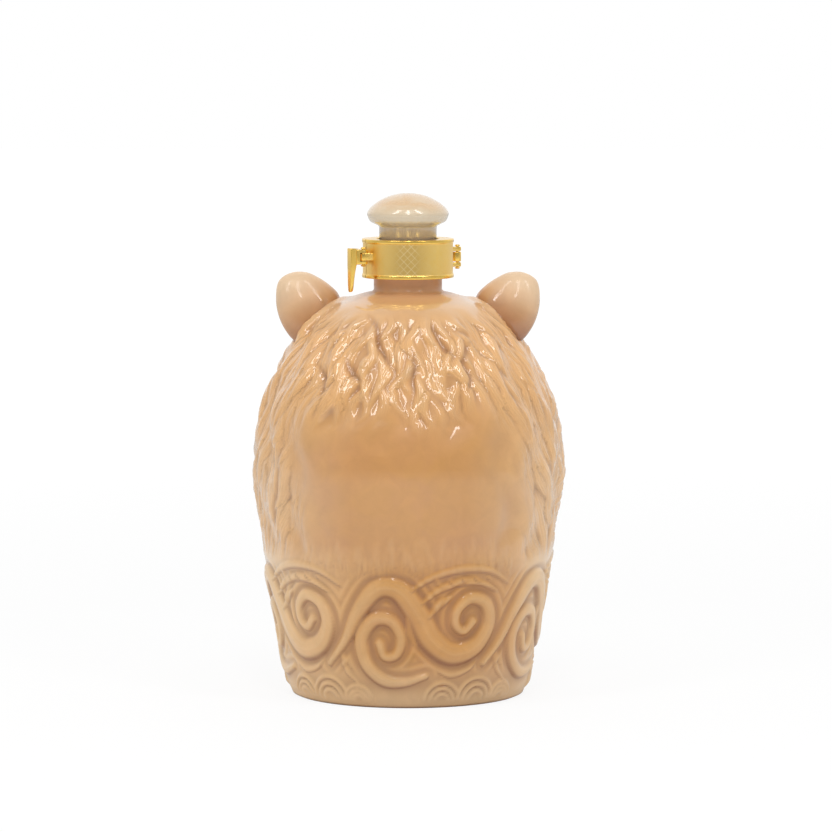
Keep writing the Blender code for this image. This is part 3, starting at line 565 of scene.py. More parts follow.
class Skin:
    """Sample points over the head, in rows from the foot to the neck and columns round it."""

    def __init__(self, columns, rows, inset=0.0):
        outline = body_outline()
        steps = np.linalg.norm(np.diff(outline, axis=0), axis=1)
        length = np.concatenate(([0.0], np.cumsum(steps)))
        wanted = np.linspace(0.0, length[-1], rows)
        self.radius = np.interp(wanted, length, outline[:, 0])
        self.height = np.interp(wanted, length, outline[:, 1])
        self.row_step = length[-1] / (rows - 1)
        self.angle_step = 2 * math.pi / columns
        self.turn = np.arange(columns) * self.angle_step - math.pi
        angle = self.turn[None, :] - math.pi / 2
        radius, height = self.radius[:, None], self.height[:, None]
        plain = np.stack((radius * np.cos(angle), radius * np.sin(angle) * depth_share(height),
                          height + 0 * angle), axis=-1)
        normal = self.normals(plain)
        x, z = plain[..., 0], plain[..., 2]
        front = np.interp(muzzle_height, self.height, self.radius) * depth_share(muzzle_height)
        flat = face_forms(pad_offset, muzzle_height, 0.0)
        unit = face_forms(pad_offset, muzzle_height, 1.0) - flat
        lift = (body_depth / 2 - front - flat) / unit
        self.frontness = np.clip(np.sin(angle) / side_fade_share, 0.0, 1.0) + 0 * z
        self.forms = face_forms(x, z, lift) * self.frontness
        self.forms += mane_relief(x, z, angle) * (1 - self.frontness)
        self.place = plain + normal * (self.forms - inset)[..., None]
        self.normal = self.normals(self.place)

    @staticmethod
    def normals(place):
        """Outward normals of a grid of places that closes round the head."""
        along = np.roll(place, -1, axis=1) - np.roll(place, 1, axis=1)
        up = np.gradient(place, axis=0)
        normal = np.cross(along, up)
        return normal / np.linalg.norm(normal, axis=-1, keepdims=True)


def mane_cover(x, y, z):
    """1 where the mane lies, 0 on the crown, the back's panel, the face and the band below."""
    hem = z + sum(rise * np.sin(x / length + start) for rise, length, start in panel_waves)
    sway = x + panel_sway * np.sin(z / panel_sway_length)
    panel = (fade(sway, *panel_left_fade) * fade(sway, *panel_right_fade)
             * fade(hem, *panel_top_fade) * fade(y, *panel_back_fade))
    face = fade(face_distance(x, z), *mane_face_fade) * fade(y, *mane_front_fade)
    return fade(z, *mane_crown_fade) * fade(z, *mane_foot_fade) * (1 - panel) * (1 - face)


def combed_way(place, normal):
    """The way the mane is combed along the skin: down the back, and away from the face."""
    back = np.clip(0.5 - place[1] / comb_turn_depth, 0, 1)
    down = np.array((place[0] / comb_back_reach, 0.0, -1.0))
    away = np.array((place[0] / comb_face_reach, -0.9,
                     (place[2] - face_height) / comb_face_reach - 0.5))
    way = down * back + away * (1 - back)
    way -= normal * (way @ normal)
    return way / np.linalg.norm(way)


def lay_lock(maps, skin, row, column, size, bend, wave):
    """Lay one tapered, wavy lock over the relief, combed the mane's way at its middle."""
    length, half_width, height = size
    reach = length / 2 + half_width + abs(wave[0])
    rows = slice(max(0, row - math.ceil(reach / skin.row_step)),
                 row + math.ceil(reach / skin.row_step) + 1)
    spread = math.ceil(reach / (skin.radius[row] * skin.angle_step))
    spread = min(spread, len(skin.turn) // 3)
    columns = np.arange(column - spread, column + spread + 1) % len(skin.turn)
    middle = skin.place[row, column]
    normal = skin.normal[row, column]
    way = combed_way(middle, normal)
    offset = skin.place[rows][:, columns] - middle
    share = offset @ way / length + 0.5
    inner = np.clip(share, 0.0, 1.0)
    path = bend * (inner - 0.5) ** 2 * 4 + wave[0] * np.sin(2 * math.pi * inner + wave[1])
    aside = offset @ np.cross(normal, way) - path
    width = half_width * np.maximum(np.sin(math.pi * inner ** 0.75), 1e-3) ** 0.8
    across = aside / width
    near = offset @ normal > -lock_reach_inwards
    inside = (np.abs(across) < 1) & (share > 0) & (share < 1) & near
    round_top = np.sqrt(np.clip(1 - across ** 2, 0, 1))
    lift = height * fade(inner, 0.0, 0.4) * (1 - 0.35 * inner)
    strands = 1 - 0.16 * (1 - np.cos(across * 2.5 * math.pi)) * round_top
    target = np.ix_(range(*rows.indices(len(skin.radius))), columns)
    below = maps["relief"][target]
    maps["relief"][target] = np.where(inside, 0.22 * below + lift * round_top * strands, below)
    maps["strand"][target] = np.where(inside, aside / half_width, maps["strand"][target])
    maps["strand_depth"][target] = np.where(inside, round_top, maps["strand_depth"][target])


def lay_mane(maps, skin, relief):
    """Lay the mane's locks from the bottom up, so that upper ones fall over lower ones."""
    rng = np.random.default_rng(lock_seed)
    level_gap = relief.lock_length * lock_level_share
    level_rows = np.arange(0, len(skin.radius), max(1, round(level_gap / skin.row_step)))
    for level, row in enumerate(level_rows):
        around = 2 * math.pi * skin.radius[row]
        count = max(8, round(around / relief.lock_spacing))
        for number in range(count):
            scatter = rng.uniform(-lock_turn_scatter, lock_turn_scatter)
            turn = (number + 0.5 * (level % 2) + scatter) / count
            column = int(turn * len(skin.turn)) % len(skin.turn)
            drop = rng.integers(-lock_row_scatter, lock_row_scatter + 1)
            near = int(np.clip(row + drop, 0, len(skin.radius) - 1))
            x, y, z = skin.place[near, column]
            if mane_cover(x, y, z) < least_lock_cover:
                continue
            centre = ridge(x, lock_centre_reach) * fade(y, *lock_centre_fade)
            scale = (1 - 0.30 * centre) * rng.uniform(0.75, 1.2)
            size = (relief.lock_length * scale, relief.lock_width / 2 * scale
                    * (1 - 0.2 * centre), relief.lock_height * rng.uniform(0.7, 1.1))
            bend = rng.normal(0, lock_bend)
            wave = ((0.8 + 1.4 * centre) * MM * rng.uniform(0.5, 1.4), rng.uniform(0, 6.28))
            lay_lock(maps, skin, near, column, size, bend, wave)
    cover = mane_cover(*np.moveaxis(skin.place, -1, 0))
    maps["relief"] = (maps["relief"] - lock_sunk_share * relief.lock_height) * cover
    maps["strand_depth"] *= cover
    maps["mane"] = blurred(cover, mane_blur)


def lay_stroke(maps, skin, points, widths, height, keep=0.25, reach=0.0):
    """Lay a rounded, veined stroke over the band; points are (distance round, height).

    Within reach of its edges the ground keeps how near the stroke is."""
    line = np.array(points, dtype=float)
    half = np.asarray(widths, dtype=float) / 2
    margin = half.max() + max(0.8 * half.max(), reach)
    low = np.searchsorted(skin.height, line[:, 1].min() - margin)
    high = np.searchsorted(skin.height, line[:, 1].max() + margin)
    if high - low < 2:
        return
    spacing = skin.angle_step * scroll_radius
    columns = np.arange(math.floor((line[:, 0].min() - margin) / spacing),
                        math.ceil((line[:, 0].max() + margin) / spacing) + 1)
    around = (columns * spacing)[None, :]
    columns = (columns + len(skin.turn) // 2) % len(skin.turn)
    heights = skin.height[low:high][:, None]
    gaps = (around[..., None] - line[:, 0]) ** 2 + (heights[..., None] - line[:, 1]) ** 2
    nearest = gaps.argmin(axis=2)
    distance = np.sqrt(gaps.min(axis=2))
    way = np.gradient(line, axis=0)[nearest]
    turned = ((around - line[nearest, 0]) * way[..., 1]
              - (heights - line[nearest, 1]) * way[..., 0])
    across = distance / half[nearest]
    aside = across * np.sign(turned)
    inside = across < 1
    round_top = np.clip(1 - across ** 2, 0, 1) ** 0.65
    veins = 1 - 0.10 * (1 - np.cos(2.5 * math.pi * aside)) * round_top
    beneath = np.clip((line[nearest, 1] - heights) / half[nearest], -1, 1)
    target = np.ix_(range(low, high), columns)
    current = maps["band"][target]
    moat = 0.25 * height * ridge(across - 1.1, 0.16)
    maps["band"][target] = np.where(inside, keep * current + height * round_top * veins,
                                    current - moat)
    # Painted shadow along the stroke's edge, strongest under its lower side
    shadow = ridge(across - 1.0, 0.30) * np.clip(0.30 + beneath, 0, 1)
    kept = np.where(inside, 0.2, 1.0) * maps["shade_and_dark_marks"][target]
    maps["shade_and_dark_marks"][target] = np.maximum(kept, shadow)
    # Ochre on the stroke's top, stronger on its upper side as painted light from above
    upper_side_light = round_top * (0.5 - 0.5 * beneath)
    maps["ochre"][target] = np.where(inside, upper_side_light, maps["ochre"][target])
    if reach:
        maps["near"][target] = np.minimum(maps["near"][target], distance - half[nearest])
        maps["strand"][target] = np.where(inside, aside, maps["strand"][target])
        maps["strand_depth"][target] = np.where(inside, round_top, maps["strand_depth"][target])


def arc_points(centre, radius, first, last, count):
    """Points of an arc, with its ends in degrees."""
    turn = np.radians(np.linspace(first, last, count))
    return [(centre[0] + radius * math.cos(a), centre[1] + radius * math.sin(a)) for a in turn]


def lay_scroll(maps, skin, shares, start, bay, relief):
    """One of the main scrolls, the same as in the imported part."""
    line = smooth_curve(shares, 8)
    points = np.column_stack((start + line[:, 0] * bay, line[:, 1] * band_height))
    height = relief.scroll_height * (1 + line[:, 2].mean()) / 2
    lay_stroke(maps, skin, points, line[:, 2] * relief.scroll_width, height, 0.1,
               ripple_reach)


def lay_ridges(maps, skin, lines, start, bay, width, height):
    """Thin tapered ridges through (share of the bay, height in mm) points."""
    for points in lines:
        line = smooth_curve([(start + across * bay, rise * MM) for across, rise in points], 10)
        swell = np.sin(np.linspace(0.15, math.pi - 0.1, len(line))) ** 0.6
        lay_stroke(maps, skin, line, width * swell, height, 0.5)


def lay_scallops(maps, skin, start, bay, height):
    """Rows of half rings just over the foot."""
    for share, radius in scallops:
        middle = (start + share * bay, scallop_foot)
        for ring_share in scallop_ring_shares:
            arc = arc_points(middle, radius * ring_share, 8, 172, 40)
            lay_stroke(maps, skin, arc, [scallop_width] * len(arc), height, 0.1)


def lay_band(maps, skin, relief):
    """The band round the foot: big scrolls, ripples that follow them, leaves and scallops."""
    bay = 2 * math.pi * scroll_radius / scroll_bays
    tall = relief.scroll_height
    maps["near"][:] = 1.0
    for number in range(scroll_bays):
        start = (number + scroll_start_share) * bay
        lay_scallops(maps, skin, start, bay, 0.5 * tall)
        lay_scroll(maps, skin, wave_scroll_shares, start, bay, relief)
        lay_scroll(maps, skin, curl_scroll_shares, start, bay, relief)
        lay_ridges(maps, skin, plume_points, start, bay, 3.4 * MM, 0.50 * tall)
        lay_ridges(maps, skin, barb_points, start, bay, 1.8 * MM, 0.22 * tall)
        lay_ridges(maps, skin, tendril_points, start, bay, 2.4 * MM, 0.36 * tall)
    near = maps["near"]
    level = skin.height[:, None]
    ripple = np.cos(2 * math.pi * near / ripple_length) * fade(near, 10 * MM, 4 * MM)
    ripple *= fade(near, 0, 1.2 * MM)
    ripple *= fade(level, 11 * MM, 17 * MM) * fade(level, 55 * MM, 48 * MM)
    ground = fade(level, band_foot, band_foot + band_fade)
    ground *= fade(level, band_height, band_height - band_fade)
    maps["band"] += 0.20 * tall * ripple - band_depth * ground
    # Painted shade just under each edge that the band's relief overhangs
    above = round(overhang_reach / skin.row_step)
    overhang = np.roll(maps["band"], -above, axis=0) - maps["band"]
    shade = 0.6 * np.clip(overhang / overhang_depth - 0.3, 0, 1)
    maps["shade_and_dark_marks"] = np.maximum(maps["shade_and_dark_marks"], shade)
    maps["strand_depth"] *= 0.3 + 0.7 * fade(level, 50 * MM, 58 * MM)
    inside = fade(level, 3 * MM, 7 * MM) * fade(level, 60 * MM, 54 * MM)
    maps["shade_and_dark_marks"] *= inside
    maps["ochre"] *= inside


def lay_partings(maps, skin):
    """Carve long partings between the locks of the back, with painted shade along them; points
    are (x, z) in mm.
    """
    for points in parting_points:
        line = smooth_curve(points, 10) * MM
        turn = np.arcsin(line[:, 0] / np.interp(line[:, 1], skin.height, skin.radius))
        ends = (line[-1, 1] - parting_margin, line[0, 1] + parting_margin)
        rows = slice(*np.searchsorted(skin.height, ends))
        columns = np.nonzero(np.abs(skin.turn - turn.mean()) < 0.5)[0]
        across = (skin.turn[columns, None] - turn)[None] * skin.radius[rows, None, None]
        distance = np.hypot(across, skin.height[rows, None, None] - line[:, 1])
        nearest = distance.argmin(axis=2)
        taper = (np.sin(np.linspace(0.1, 3.0, len(line))) ** 0.7)[nearest]
        depth = taper * ridge(distance.min(axis=2), (0.5 + 0.6 * taper) * MM)
        target = np.ix_(range(rows.start, rows.stop), columns)
        maps["relief"][target] -= parting_depth * depth
        maps["shade_and_dark_marks"][target] = np.maximum(maps["shade_and_dark_marks"][target], 0.9 * depth)


def lay_fringe(maps, skin):
    """Faint upright strands under the back's panel."""
    rng = np.random.default_rng(fringe_seed)
    share = np.linspace(0, 1, 16)
    widths = fringe_width * (0.3 + 0.7 * np.sin(math.pi * share))
    for _ in range(fringe_strands):
        turn = rng.uniform(-fringe_half_turn, fringe_half_turn)
        top = rng.uniform(57, 68) * MM
        length = rng.uniform(5, 11) * MM
        lean = rng.normal(0, 0.12) + 0.25 * turn
        middle = turn * scroll_radius
        points = np.column_stack((middle + lean * share * length, top - share * length))
        lay_stroke(maps, skin, points, widths, fringe_lift, 0.7)


def eye_marks(x, z):
    """Eyelids round a sunk pupil, with the brow over them."""
    across = np.abs(x) - eye_offset
    rise = z - eye_height - across * eye_tilt_share
    lid = np.hypot(across / lid_half_width, rise / lid_half_height)
    pupil = np.hypot(across, rise)
    relief = 0.9 * MM * ridge(lid - 1.12, 0.16) - 0.5 * MM * ridge(lid - 0.86, 0.10)
    relief -= 0.7 * MM * ridge(pupil, pupil_radius, flat_hill)
    dark = np.maximum(0.95 * ridge(pupil, pupil_shade_radius, flat_hill),
                      0.8 * ridge(lid - 0.92, 0.14))
    brow = hill(np.abs(x) - 15 * MM, z - brow_height - 1 * MM, 8 * MM, 3 * MM)
    pale = np.maximum(2.2 * fade(lid, 0.86, 0.72), 1.5 * brow)
    return relief, dark, pale


def nose_marks(x, z):
    """A dark nose with nostrils, and painted shade down each side of the bridge."""
    side = np.abs(x)
    nostril = hill(side - nostril_offset,
                   z - nose_height + nostril_drop - (side - nostril_offset) / 2,
                   2.5 * MM, 1.5 * MM)
    nose = hill(x, z - nose_height - 1 * MM, 10.5 * MM, 6.5 * MM, flat_hill)
    bridge_side_shade = ridge(side - nose_side_offset - (z - nose_height) / 8, 2.2 * MM)
    for ends in nose_side_fades:
        bridge_side_shade *= fade(z, *ends)
    dark = np.maximum(nostril, np.maximum(0.75 * nose, 0.4 * bridge_side_shade))
    return -1.8 * MM * nostril, dark, 0 * z


def mouth_marks(x, z):
    """The mouth's curved line, the furrow up to the nose, and a pale muzzle and chin."""
    side = np.abs(x)
    fall = (mouth_height - chin_height) * (side / mouth_half_width) ** 2
    line = ridge(side, mouth_half_width, flat_hill) * ridge(z - mouth_height + fall, 1.5 * MM)
    furrow = ridge(side, 0.9 * MM)
    for ends in furrow_fades:
        furrow *= fade(z, *ends)
    muzzle = hill(side - 9 * MM, z - 77 * MM, 11 * MM, 9 * MM)
    chin = hill(x, z - chin_height - 2 * MM, 10 * MM, 6 * MM)
    return (-1.8 * MM * line - 1.2 * MM * furrow, 0.75 * np.maximum(line, furrow),
            1.9 * np.maximum(muzzle, chin))


def whisker_marks(x, z):
    """Rows of small pits on the whisker pads, and wrinkles between the brows."""
    side = np.abs(x)
    pits = 0 * z
    for column in range(whisker_columns):
        for row in range(whisker_rows):
            rise = whisker_height - whisker_drop * row + whisker_climb * column
            pit = hill(side - whisker_offset - whisker_step * column, z - rise,
                       whisker_radius, whisker_radius)
            pits = np.maximum(pits, pit)
    wrinkle = np.cos((side / (2.6 * MM) + (z - brow_height) / (9 * MM)) * math.pi)
    wrinkle *= hill(x, z - wrinkle_height, 9 * MM, 9 * MM)
    return 0.35 * MM * wrinkle - 0.5 * MM * pits, 0.6 * pits, 0 * z


def face_details(x, z):
    """Relief of the face's fine marks, with where they are dark or pale."""
    marks = [part(x, z) for part in (eye_marks, nose_marks, mouth_marks, whisker_marks)]
    relief, dark, pale = (np.stack(parts) for parts in zip(*marks))
    return relief.sum(axis=0), dark.max(axis=0), pale.max(axis=0)


def dressed_maps(skin, relief):
    """Maps of the fine relief over the skin, and of where each colour, painted shade and painted
    highlight lies.
    """
    names = ("relief", "strand", "strand_depth", "band", "near", "shade_and_dark_marks", "ochre")
    maps = {name: np.zeros(skin.place.shape[:2]) for name in names}
    lay_mane(maps, skin, relief)
    lay_fringe(maps, skin)
    lay_band(maps, skin, relief)
    lay_partings(maps, skin)
    x, _, z = np.moveaxis(skin.place, -1, 0)
    face, dark, pale = face_details(x, z)
    front = skin.frontness * fade(face_distance(x, z), 1.25, 1.0)
    total = maps["relief"] + maps["band"] + face * front
    ends = fade(skin.height, foot_edge_radius, outline_fade)
    ends *= fade(skin.height, body_height, body_height - outline_fade)
    total *= ends[:, None]
    # Painted shade: the relief's hollows, found against its blurred self, are darkened
    hollow = (blurred(total, 7) - blurred(total, 1.2)) / groove_depth
    maps["groove_shade"] = np.clip(hollow, 0, 1)
    # Painted highlight on the relief's crests, together with the face's own pale marks
    maps["crest"] = np.maximum(np.clip(-hollow, 0, 1), pale * front)
    maps["total"] = total
    # Painted shade in the hollows of the face's forms, fainter away from the face
    sunk = np.clip((blurred(skin.forms, 26) - blurred(skin.forms, 4)) / sunk_depth, 0, 1)
    sunk *= 0.20 + 0.15 * skin.frontness
    maps["shade_and_dark_marks"] = np.maximum(maps["shade_and_dark_marks"], np.maximum(dark * front, sunk))
    return maps


def thinned(values):
    """Soften a map and keep every second sample each way."""
    values = (np.roll(values, 1, axis=1) + 2 * values + np.roll(values, -1, axis=1)) / 4
    padded = np.concatenate((values[:1], values, values[-1:]))
    return ((padded[:-2] + 2 * values + padded[2:]) / 4)[::2, ::2]


def grid_mesh(name, rings, first_point, last_point):
    """Loft rings of equally many points and close each end with a fan to a point."""
    rings = np.asarray(rings, dtype=float)
    levels, count = rings.shape[:2]
    points = np.vstack((rings.reshape(-1, 3), [first_point], [last_point]))
    near = np.arange(count)
    far = (near + 1) % count
    base = np.arange(levels - 1)[:, None] * count
    quads = np.stack((base + near, base + far, base + count + far, base + count + near), axis=-1)
    faces = quads.reshape(-1, 4).tolist()
    top = (levels - 1) * count
    faces += [(int(b), int(a), levels * count) for a, b in zip(near, far)]
    faces += [(int(top + a), int(top + b), levels * count + 1) for a, b in zip(near, far)]
    mesh = bpy.data.meshes.new(name)
    mesh.from_pydata(points.tolist(), [], faces)
    mesh.validate()
    return mesh


def ear_frame(side):
    """An ear's place and lean; side is -1 at -X and 1 at +X."""
    middle = Vector((side * ear_spacing / 2, ear_forward, body_height - ear_drop))
    return (Matrix.Translation(middle) @ Matrix.Rotation(-side * ear_toe_out, 4, 'Z')
            @ Matrix.Rotation(-ear_lean, 4, 'X'))


def ear_mesh(side):
    """A cupped ear, full at the back and hollow in front; its outline is counted outwards."""
    section = smooth_curve([(0.0, ear_back_share), *ear_section_shares,
                            (0.0, ear_hollow_share)], 6)
    closed = ear_outline_shares[-2:] + ear_outline_shares + ear_outline_shares[:2]
    outline = smooth_curve(closed, 8)[16:-9]
    outline = outline[::-1] if side > 0 else outline * (-1, 1)
    across = section[1:-1, 0, None] * ear_width / 2 * outline[:, 0]
    upward = section[1:-1, 0, None] * ear_height / 2 * outline[:, 1]
    deep = section[1:-1, 1, None] * ear_thickness + 0 * across
    rings = np.stack((across, deep, upward), axis=-1)
    mesh = grid_mesh("ear", rings, (0, ear_back_share * ear_thickness, 0),
                     (0, ear_hollow_share * ear_thickness, 0))
    mesh.transform(ear_frame(side))
    return mesh


def new_piece(name, mesh, body, slot, *nodes):
    """Make an object of a mesh, hang it under its body's empty where it stands, and hide the
    imported parts that it takes the place of.
    """
    piece = bpy.data.objects.new(name, mesh)
    bpy.context.scene.collection.objects.link(piece)
    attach(piece, body)
    if nodes:
        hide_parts(*nodes)
    return piece


def combined(base, tools):
    """Join or cut base with (operation, mesh) tools, and return the finished mesh."""
    owner = bpy.data.objects.new("base", base)
    bpy.context.scene.collection.objects.link(owner)
    helpers = []
    for operation, mesh in tools:
        helper = bpy.data.objects.new("tool", mesh)
        bpy.context.scene.collection.objects.link(helper)
        helpers.append(helper)
        step = owner.modifiers.new("step", 'BOOLEAN')
        step.operation = operation
        step.solver = 'MANIFOLD'
        step.object = helper
    graph = bpy.context.evaluated_depsgraph_get()
    result = bpy.data.meshes.new_from_object(owner.evaluated_get(graph))
    for thing in (owner, *helpers):
        bpy.data.objects.remove(thing, do_unlink=True)
    return result


def level_ring(turns, radius, height):
    """A level circle with a point at each of the skin's columns."""
    angle = turns - math.pi / 2
    return np.stack((radius * np.cos(angle), radius * np.sin(angle),
                     np.full(len(turns), height)), axis=-1)


def foot_rings(turns):
    """Rings of the foot, from its recess out to its rounded edge."""
    foot = foot_width / 2
    recess = foot - foot_edge_radius - foot_ring_width
    corner = corner_share * foot_edge_radius
    outline = ((recess - foot_recess_depth, foot_recess_depth), (recess, 0),
               (foot - foot_edge_radius, 0), (foot - corner, corner))
    return [level_ring(turns, radius, height) for radius, height in outline]


def neck_rings(turns):
    """Rings up the outside of the neck, over its rounded lip and down the bore."""
    neck = neck_width / 2
    lip = neck + lip_step
    hole = bore_width / 2
    lip_corner = corner_share * lip_edge_radius
    hole_corner = corner_share * mouth_flare
    outline = ((neck, body_height + neck_root), (neck, body_height + neck_blend),
               (neck, lip_base - lip_hollow_height), (neck + lip_hollow_step, lip_base),
               (lip - lip_swell, lip_base + lip_step / 2), (lip, lip_base + lip_step),
               (lip, rim_height - lip_edge_radius), (lip - lip_corner, rim_height - lip_corner),
               (lip - lip_edge_radius, rim_height), (hole + mouth_flare, rim_height),
               (hole + hole_corner, rim_height - hole_corner),
               (hole, rim_height - mouth_flare_depth), (hole, body_height - body_wall))
    return [level_ring(turns, radius, height) for radius, height in outline]


def lining_rings(columns, floor):
    """Rings down the inner wall, from the shoulder to just over the floor."""
    return [row for row in Skin(columns, lining_rows, body_wall).place[::-1]
            if row[:, 2].min() > floor + lining_gap
            and row[:, 2].max() < body_height - body_wall - lining_top_gap
            and np.hypot(row[:, 0], row[:, 1]).min() > bore_width / 2 + lining_gap]


def head_mesh(relief, columns, rows):
    """The whole ceramic body but its ears: skin, neck, lip, bore, lining and foot."""
    fine = Skin(2 * columns, 2 * rows - 1)
    maps = dressed_maps(fine, relief)
    skin = fine.place[::2, ::2] + fine.normal[::2, ::2] * thinned(maps["total"])[..., None]
    turns = fine.turn[::2]
    foot = foot_rings(turns)
    floor = foot_recess_depth + body_wall
    lining = lining_rings(columns, floor)
    floor_radius = np.hypot(lining[-1][:, 0], lining[-1][:, 1]).min() - floor_edge
    rings = [*foot, *skin, *neck_rings(turns), *lining, level_ring(turns, floor_radius, floor)]
    mesh = grid_mesh("bottle_body", rings, (0, 0, foot_recess_depth), (0, 0, floor))
    tones = {}
    for name in glaze_maps:
        values = np.zeros((len(rings), columns))
        thin = maps[name][::2, ::2] if name == "strand" else thinned(maps[name])
        values[len(foot):len(foot) + rows] = thin
        tones[name] = np.append(values.ravel(), (0.0, 0.0))
    return mesh, tones


def vertex_places(mesh):
    """The places of the mesh's vertices."""
    places = np.empty(len(mesh.vertices) * 3)
    mesh.vertices.foreach_get("co", places)
    return places.reshape(-1, 3)


def add_map(mesh, name, values):
    """Keep one value for each vertex, for a finish to read."""
    mesh.attributes.new(name, 'FLOAT', 'POINT').data.foreach_set("value", values)


def raise_towards(mesh, ears):
    """Lift the skin softly where it meets the ears."""
    points = vertex_places(mesh)
    normals = np.empty(len(mesh.vertices) * 3)
    mesh.vertex_normals.foreach_get("vector", normals)
    normals = normals.reshape(-1, 3)
    off_neck = np.hypot(points[:, 0], points[:, 1]) > neck_width / 2 + ear_rise_neck_gap
    outer = np.einsum("ij,ij->i", normals, points - (0, 0, belly_height)) > 0
    for ear in ears:
        shape = bmesh.new()
        shape.from_mesh(ear)
        tree = BVHTree.FromBMesh(shape)
        shape.free()
        middle = vertex_places(ear).mean(axis=0)
        close = np.linalg.norm(points - middle, axis=1) < ear_rise_span
        for index in np.nonzero(close & outer & off_neck)[0]:
            gap = tree.find_nearest(Vector(points[index]))[3]
            points[index] += normals[index] * ear_rise * ridge(gap, ear_rise_reach)
    mesh.vertices.foreach_set("co", points.ravel())
    mesh.update()


def ear_levels(places, side):
    """How far up an ear each place lies, from 0 at its root to 1, and 0 away from the ear."""
    inverse = np.array(ear_frame(side).inverted())
    local = places @ inverse[:3, :3].T + inverse[:3, 3]
    across, deep, up = (local / (ear_width, ear_thickness, ear_height)).T
    near = (2 * np.hypot(across, up) < 1.3) & (np.abs(deep) < 0.6)
    rise = np.clip(up + side * across * 0.5 + 0.55, 0, 1)
    return np.where(near, np.maximum(rise, 0.02), 0.0)


def carry_tones(source, tones, target):
    """Give target's vertices the values of the nearest source vertex; ears have their own."""
    tree = KDTree(len(source))
    for index, point in enumerate(source):
        tree.insert(point, index)
    tree.balance()
    places = vertex_places(target)
    found = [tree.find(point)[1:] for point in places]
    nearest, gaps = (np.array(values) for values in zip(*found))
    on_ear = gaps > same_place
    for name, values in tones.items():
        add_map(target, name, np.where(on_ear, 0.0, values[nearest]))
    levels = np.maximum(ear_levels(places, -1), ear_levels(places, 1))
    add_map(target, "ear", np.where(on_ear, levels, 0.0))


class Nodes:
    """Adds nodes to a tree with short calls; a value may be a number or another output."""

    def __init__(self, tree):
        self.tree = tree

    def add(self, kind, **settings):
        node = self.tree.nodes.new(kind)
        for name, value in settings.items():
            setattr(node, name, value)
        return node

    def put(self, socket, value):
        if isinstance(value, bpy.types.NodeSocket):
            self.tree.links.new(value, socket)
        else:
            socket.default_value = value

    def math(self, operation, first, second=0.0, clamp=False):
        node = self.add("ShaderNodeMath", operation=operation, use_clamp=clamp)
        self.put(node.inputs[0], first)
        self.put(node.inputs[1], second)
        return node.outputs[0]

    def times(self, first, second, clamp=False):
        return self.math('MULTIPLY', first, second, clamp)

    def largest(self, value, *others):
        for other in others:
            value = self.math('MAXIMUM', value, other)
        return value

    def scaled(self, value, low, high, to_low=0.0, to_high=1.0, way='LINEAR'):
        """The value with low to high stretched to to_low to to_high, and held at both ends."""
        node = self.add("ShaderNodeMapRange", clamp=True, interpolation_type=way)
        for socket, number in zip(node.inputs, (value, low, high, to_low, to_high)):
            self.put(socket, number)
        return node.outputs[0]

    def attribute(self, name):
        return self.add("ShaderNodeAttribute", attribute_name=name).outputs["Fac"]

    def place(self):
        return self.add("ShaderNodeTexCoord").outputs["Object"]

    def axes(self, place=None):
        node = self.add("ShaderNodeSeparateXYZ")
        self.put(node.inputs[0], place or self.place())
        return node.outputs

    def camera_sees(self):
        """1 for rays that start at the camera or pass through glass, 0 for all others."""
        path = self.add("ShaderNodeLightPath")
        return self.largest(path.outputs["Is Camera Ray"], path.outputs["Is Transmission Ray"])

    def noise(self, size, detail=3.0, roughness=0.5):
        node = self.add("ShaderNodeTexNoise")
        self.put(node.inputs["Vector"], self.place())
        for name, value in (("Scale", 1 / size), ("Detail", detail), ("Roughness", roughness),
                            ("Distortion", noise_swirl)):
            self.put(node.inputs[name], value)
        return node.outputs["Fac"]

    def mix(self, share, first, second, blend='MIX'):
        node = self.add("ShaderNodeMix", data_type='RGBA', blend_type=blend)
        self.put(node.inputs[0], share)
        self.put(node.inputs[6], first)
        self.put(node.inputs[7], second)
        return node.outputs[2]

    def coated(self, colour, *coats):
        """Lay (share, tint) coats over a colour, one after the other."""
        colour = tuple(colour)
        for share, tint in coats:
            colour = self.mix(share, colour, tuple(tint))
        return colour

    def dimmed(self, colour, level):
        """Multiply a colour by a level of grey."""
        grey = self.add("ShaderNodeCombineColor")
        for socket in grey.inputs:
            self.put(socket, level)
        return self.mix(1.0, colour, grey.outputs[0], 'MULTIPLY')

    def bump(self, height, distance, strength=1.0, normal=None):
        node = self.add("ShaderNodeBump")
        self.put(node.inputs["Strength"], strength)
        self.put(node.inputs["Distance"], distance)
        self.put(node.inputs["Height"], height)
        if normal:
            self.put(node.inputs["Normal"], normal)
        return node.outputs[0]


class Finish(Nodes):
    """The nodes of a new material, with a Principled shader joined to its output."""

    def __init__(self, name):
        self.material = bpy.data.materials.new(name)
        self.material.use_nodes = True
        super().__init__(self.material.node_tree)
        self.tree.nodes.clear()
        self.shader = self.add("ShaderNodeBsdfPrincipled")
        self.output = self.add("ShaderNodeOutputMaterial")
        self.put(self.output.inputs[0], self.shader.outputs[0])

    def set(self, **values):
        for name, value in values.items():
            self.put(self.shader.inputs[name.replace("_", " ")], value)


def ear_coats(make, finish, across):
    """Coats on the ears: a blush all over, pale tips and brown roots that are painted shade,
    deeper on the right ear.
    """
    ear = make.attribute("ear")
    root = make.times(make.scaled(ear, 0.70, 0.20), make.scaled(ear, 0.0, 0.02))
    # Painted shade: the right ear's root is darker than the left's
    root = make.times(root, make.scaled(across, -30 * MM, 40 * MM, 0.6, 1.0))
    return ((make.scaled(ear, 0.0, 0.03, 0.0, 0.35), finish.blush),
            (make.scaled(ear, 0.3, 1.0, 0.0, 0.85), finish.ear_tip),
            (root, finish.ear_root_shade))


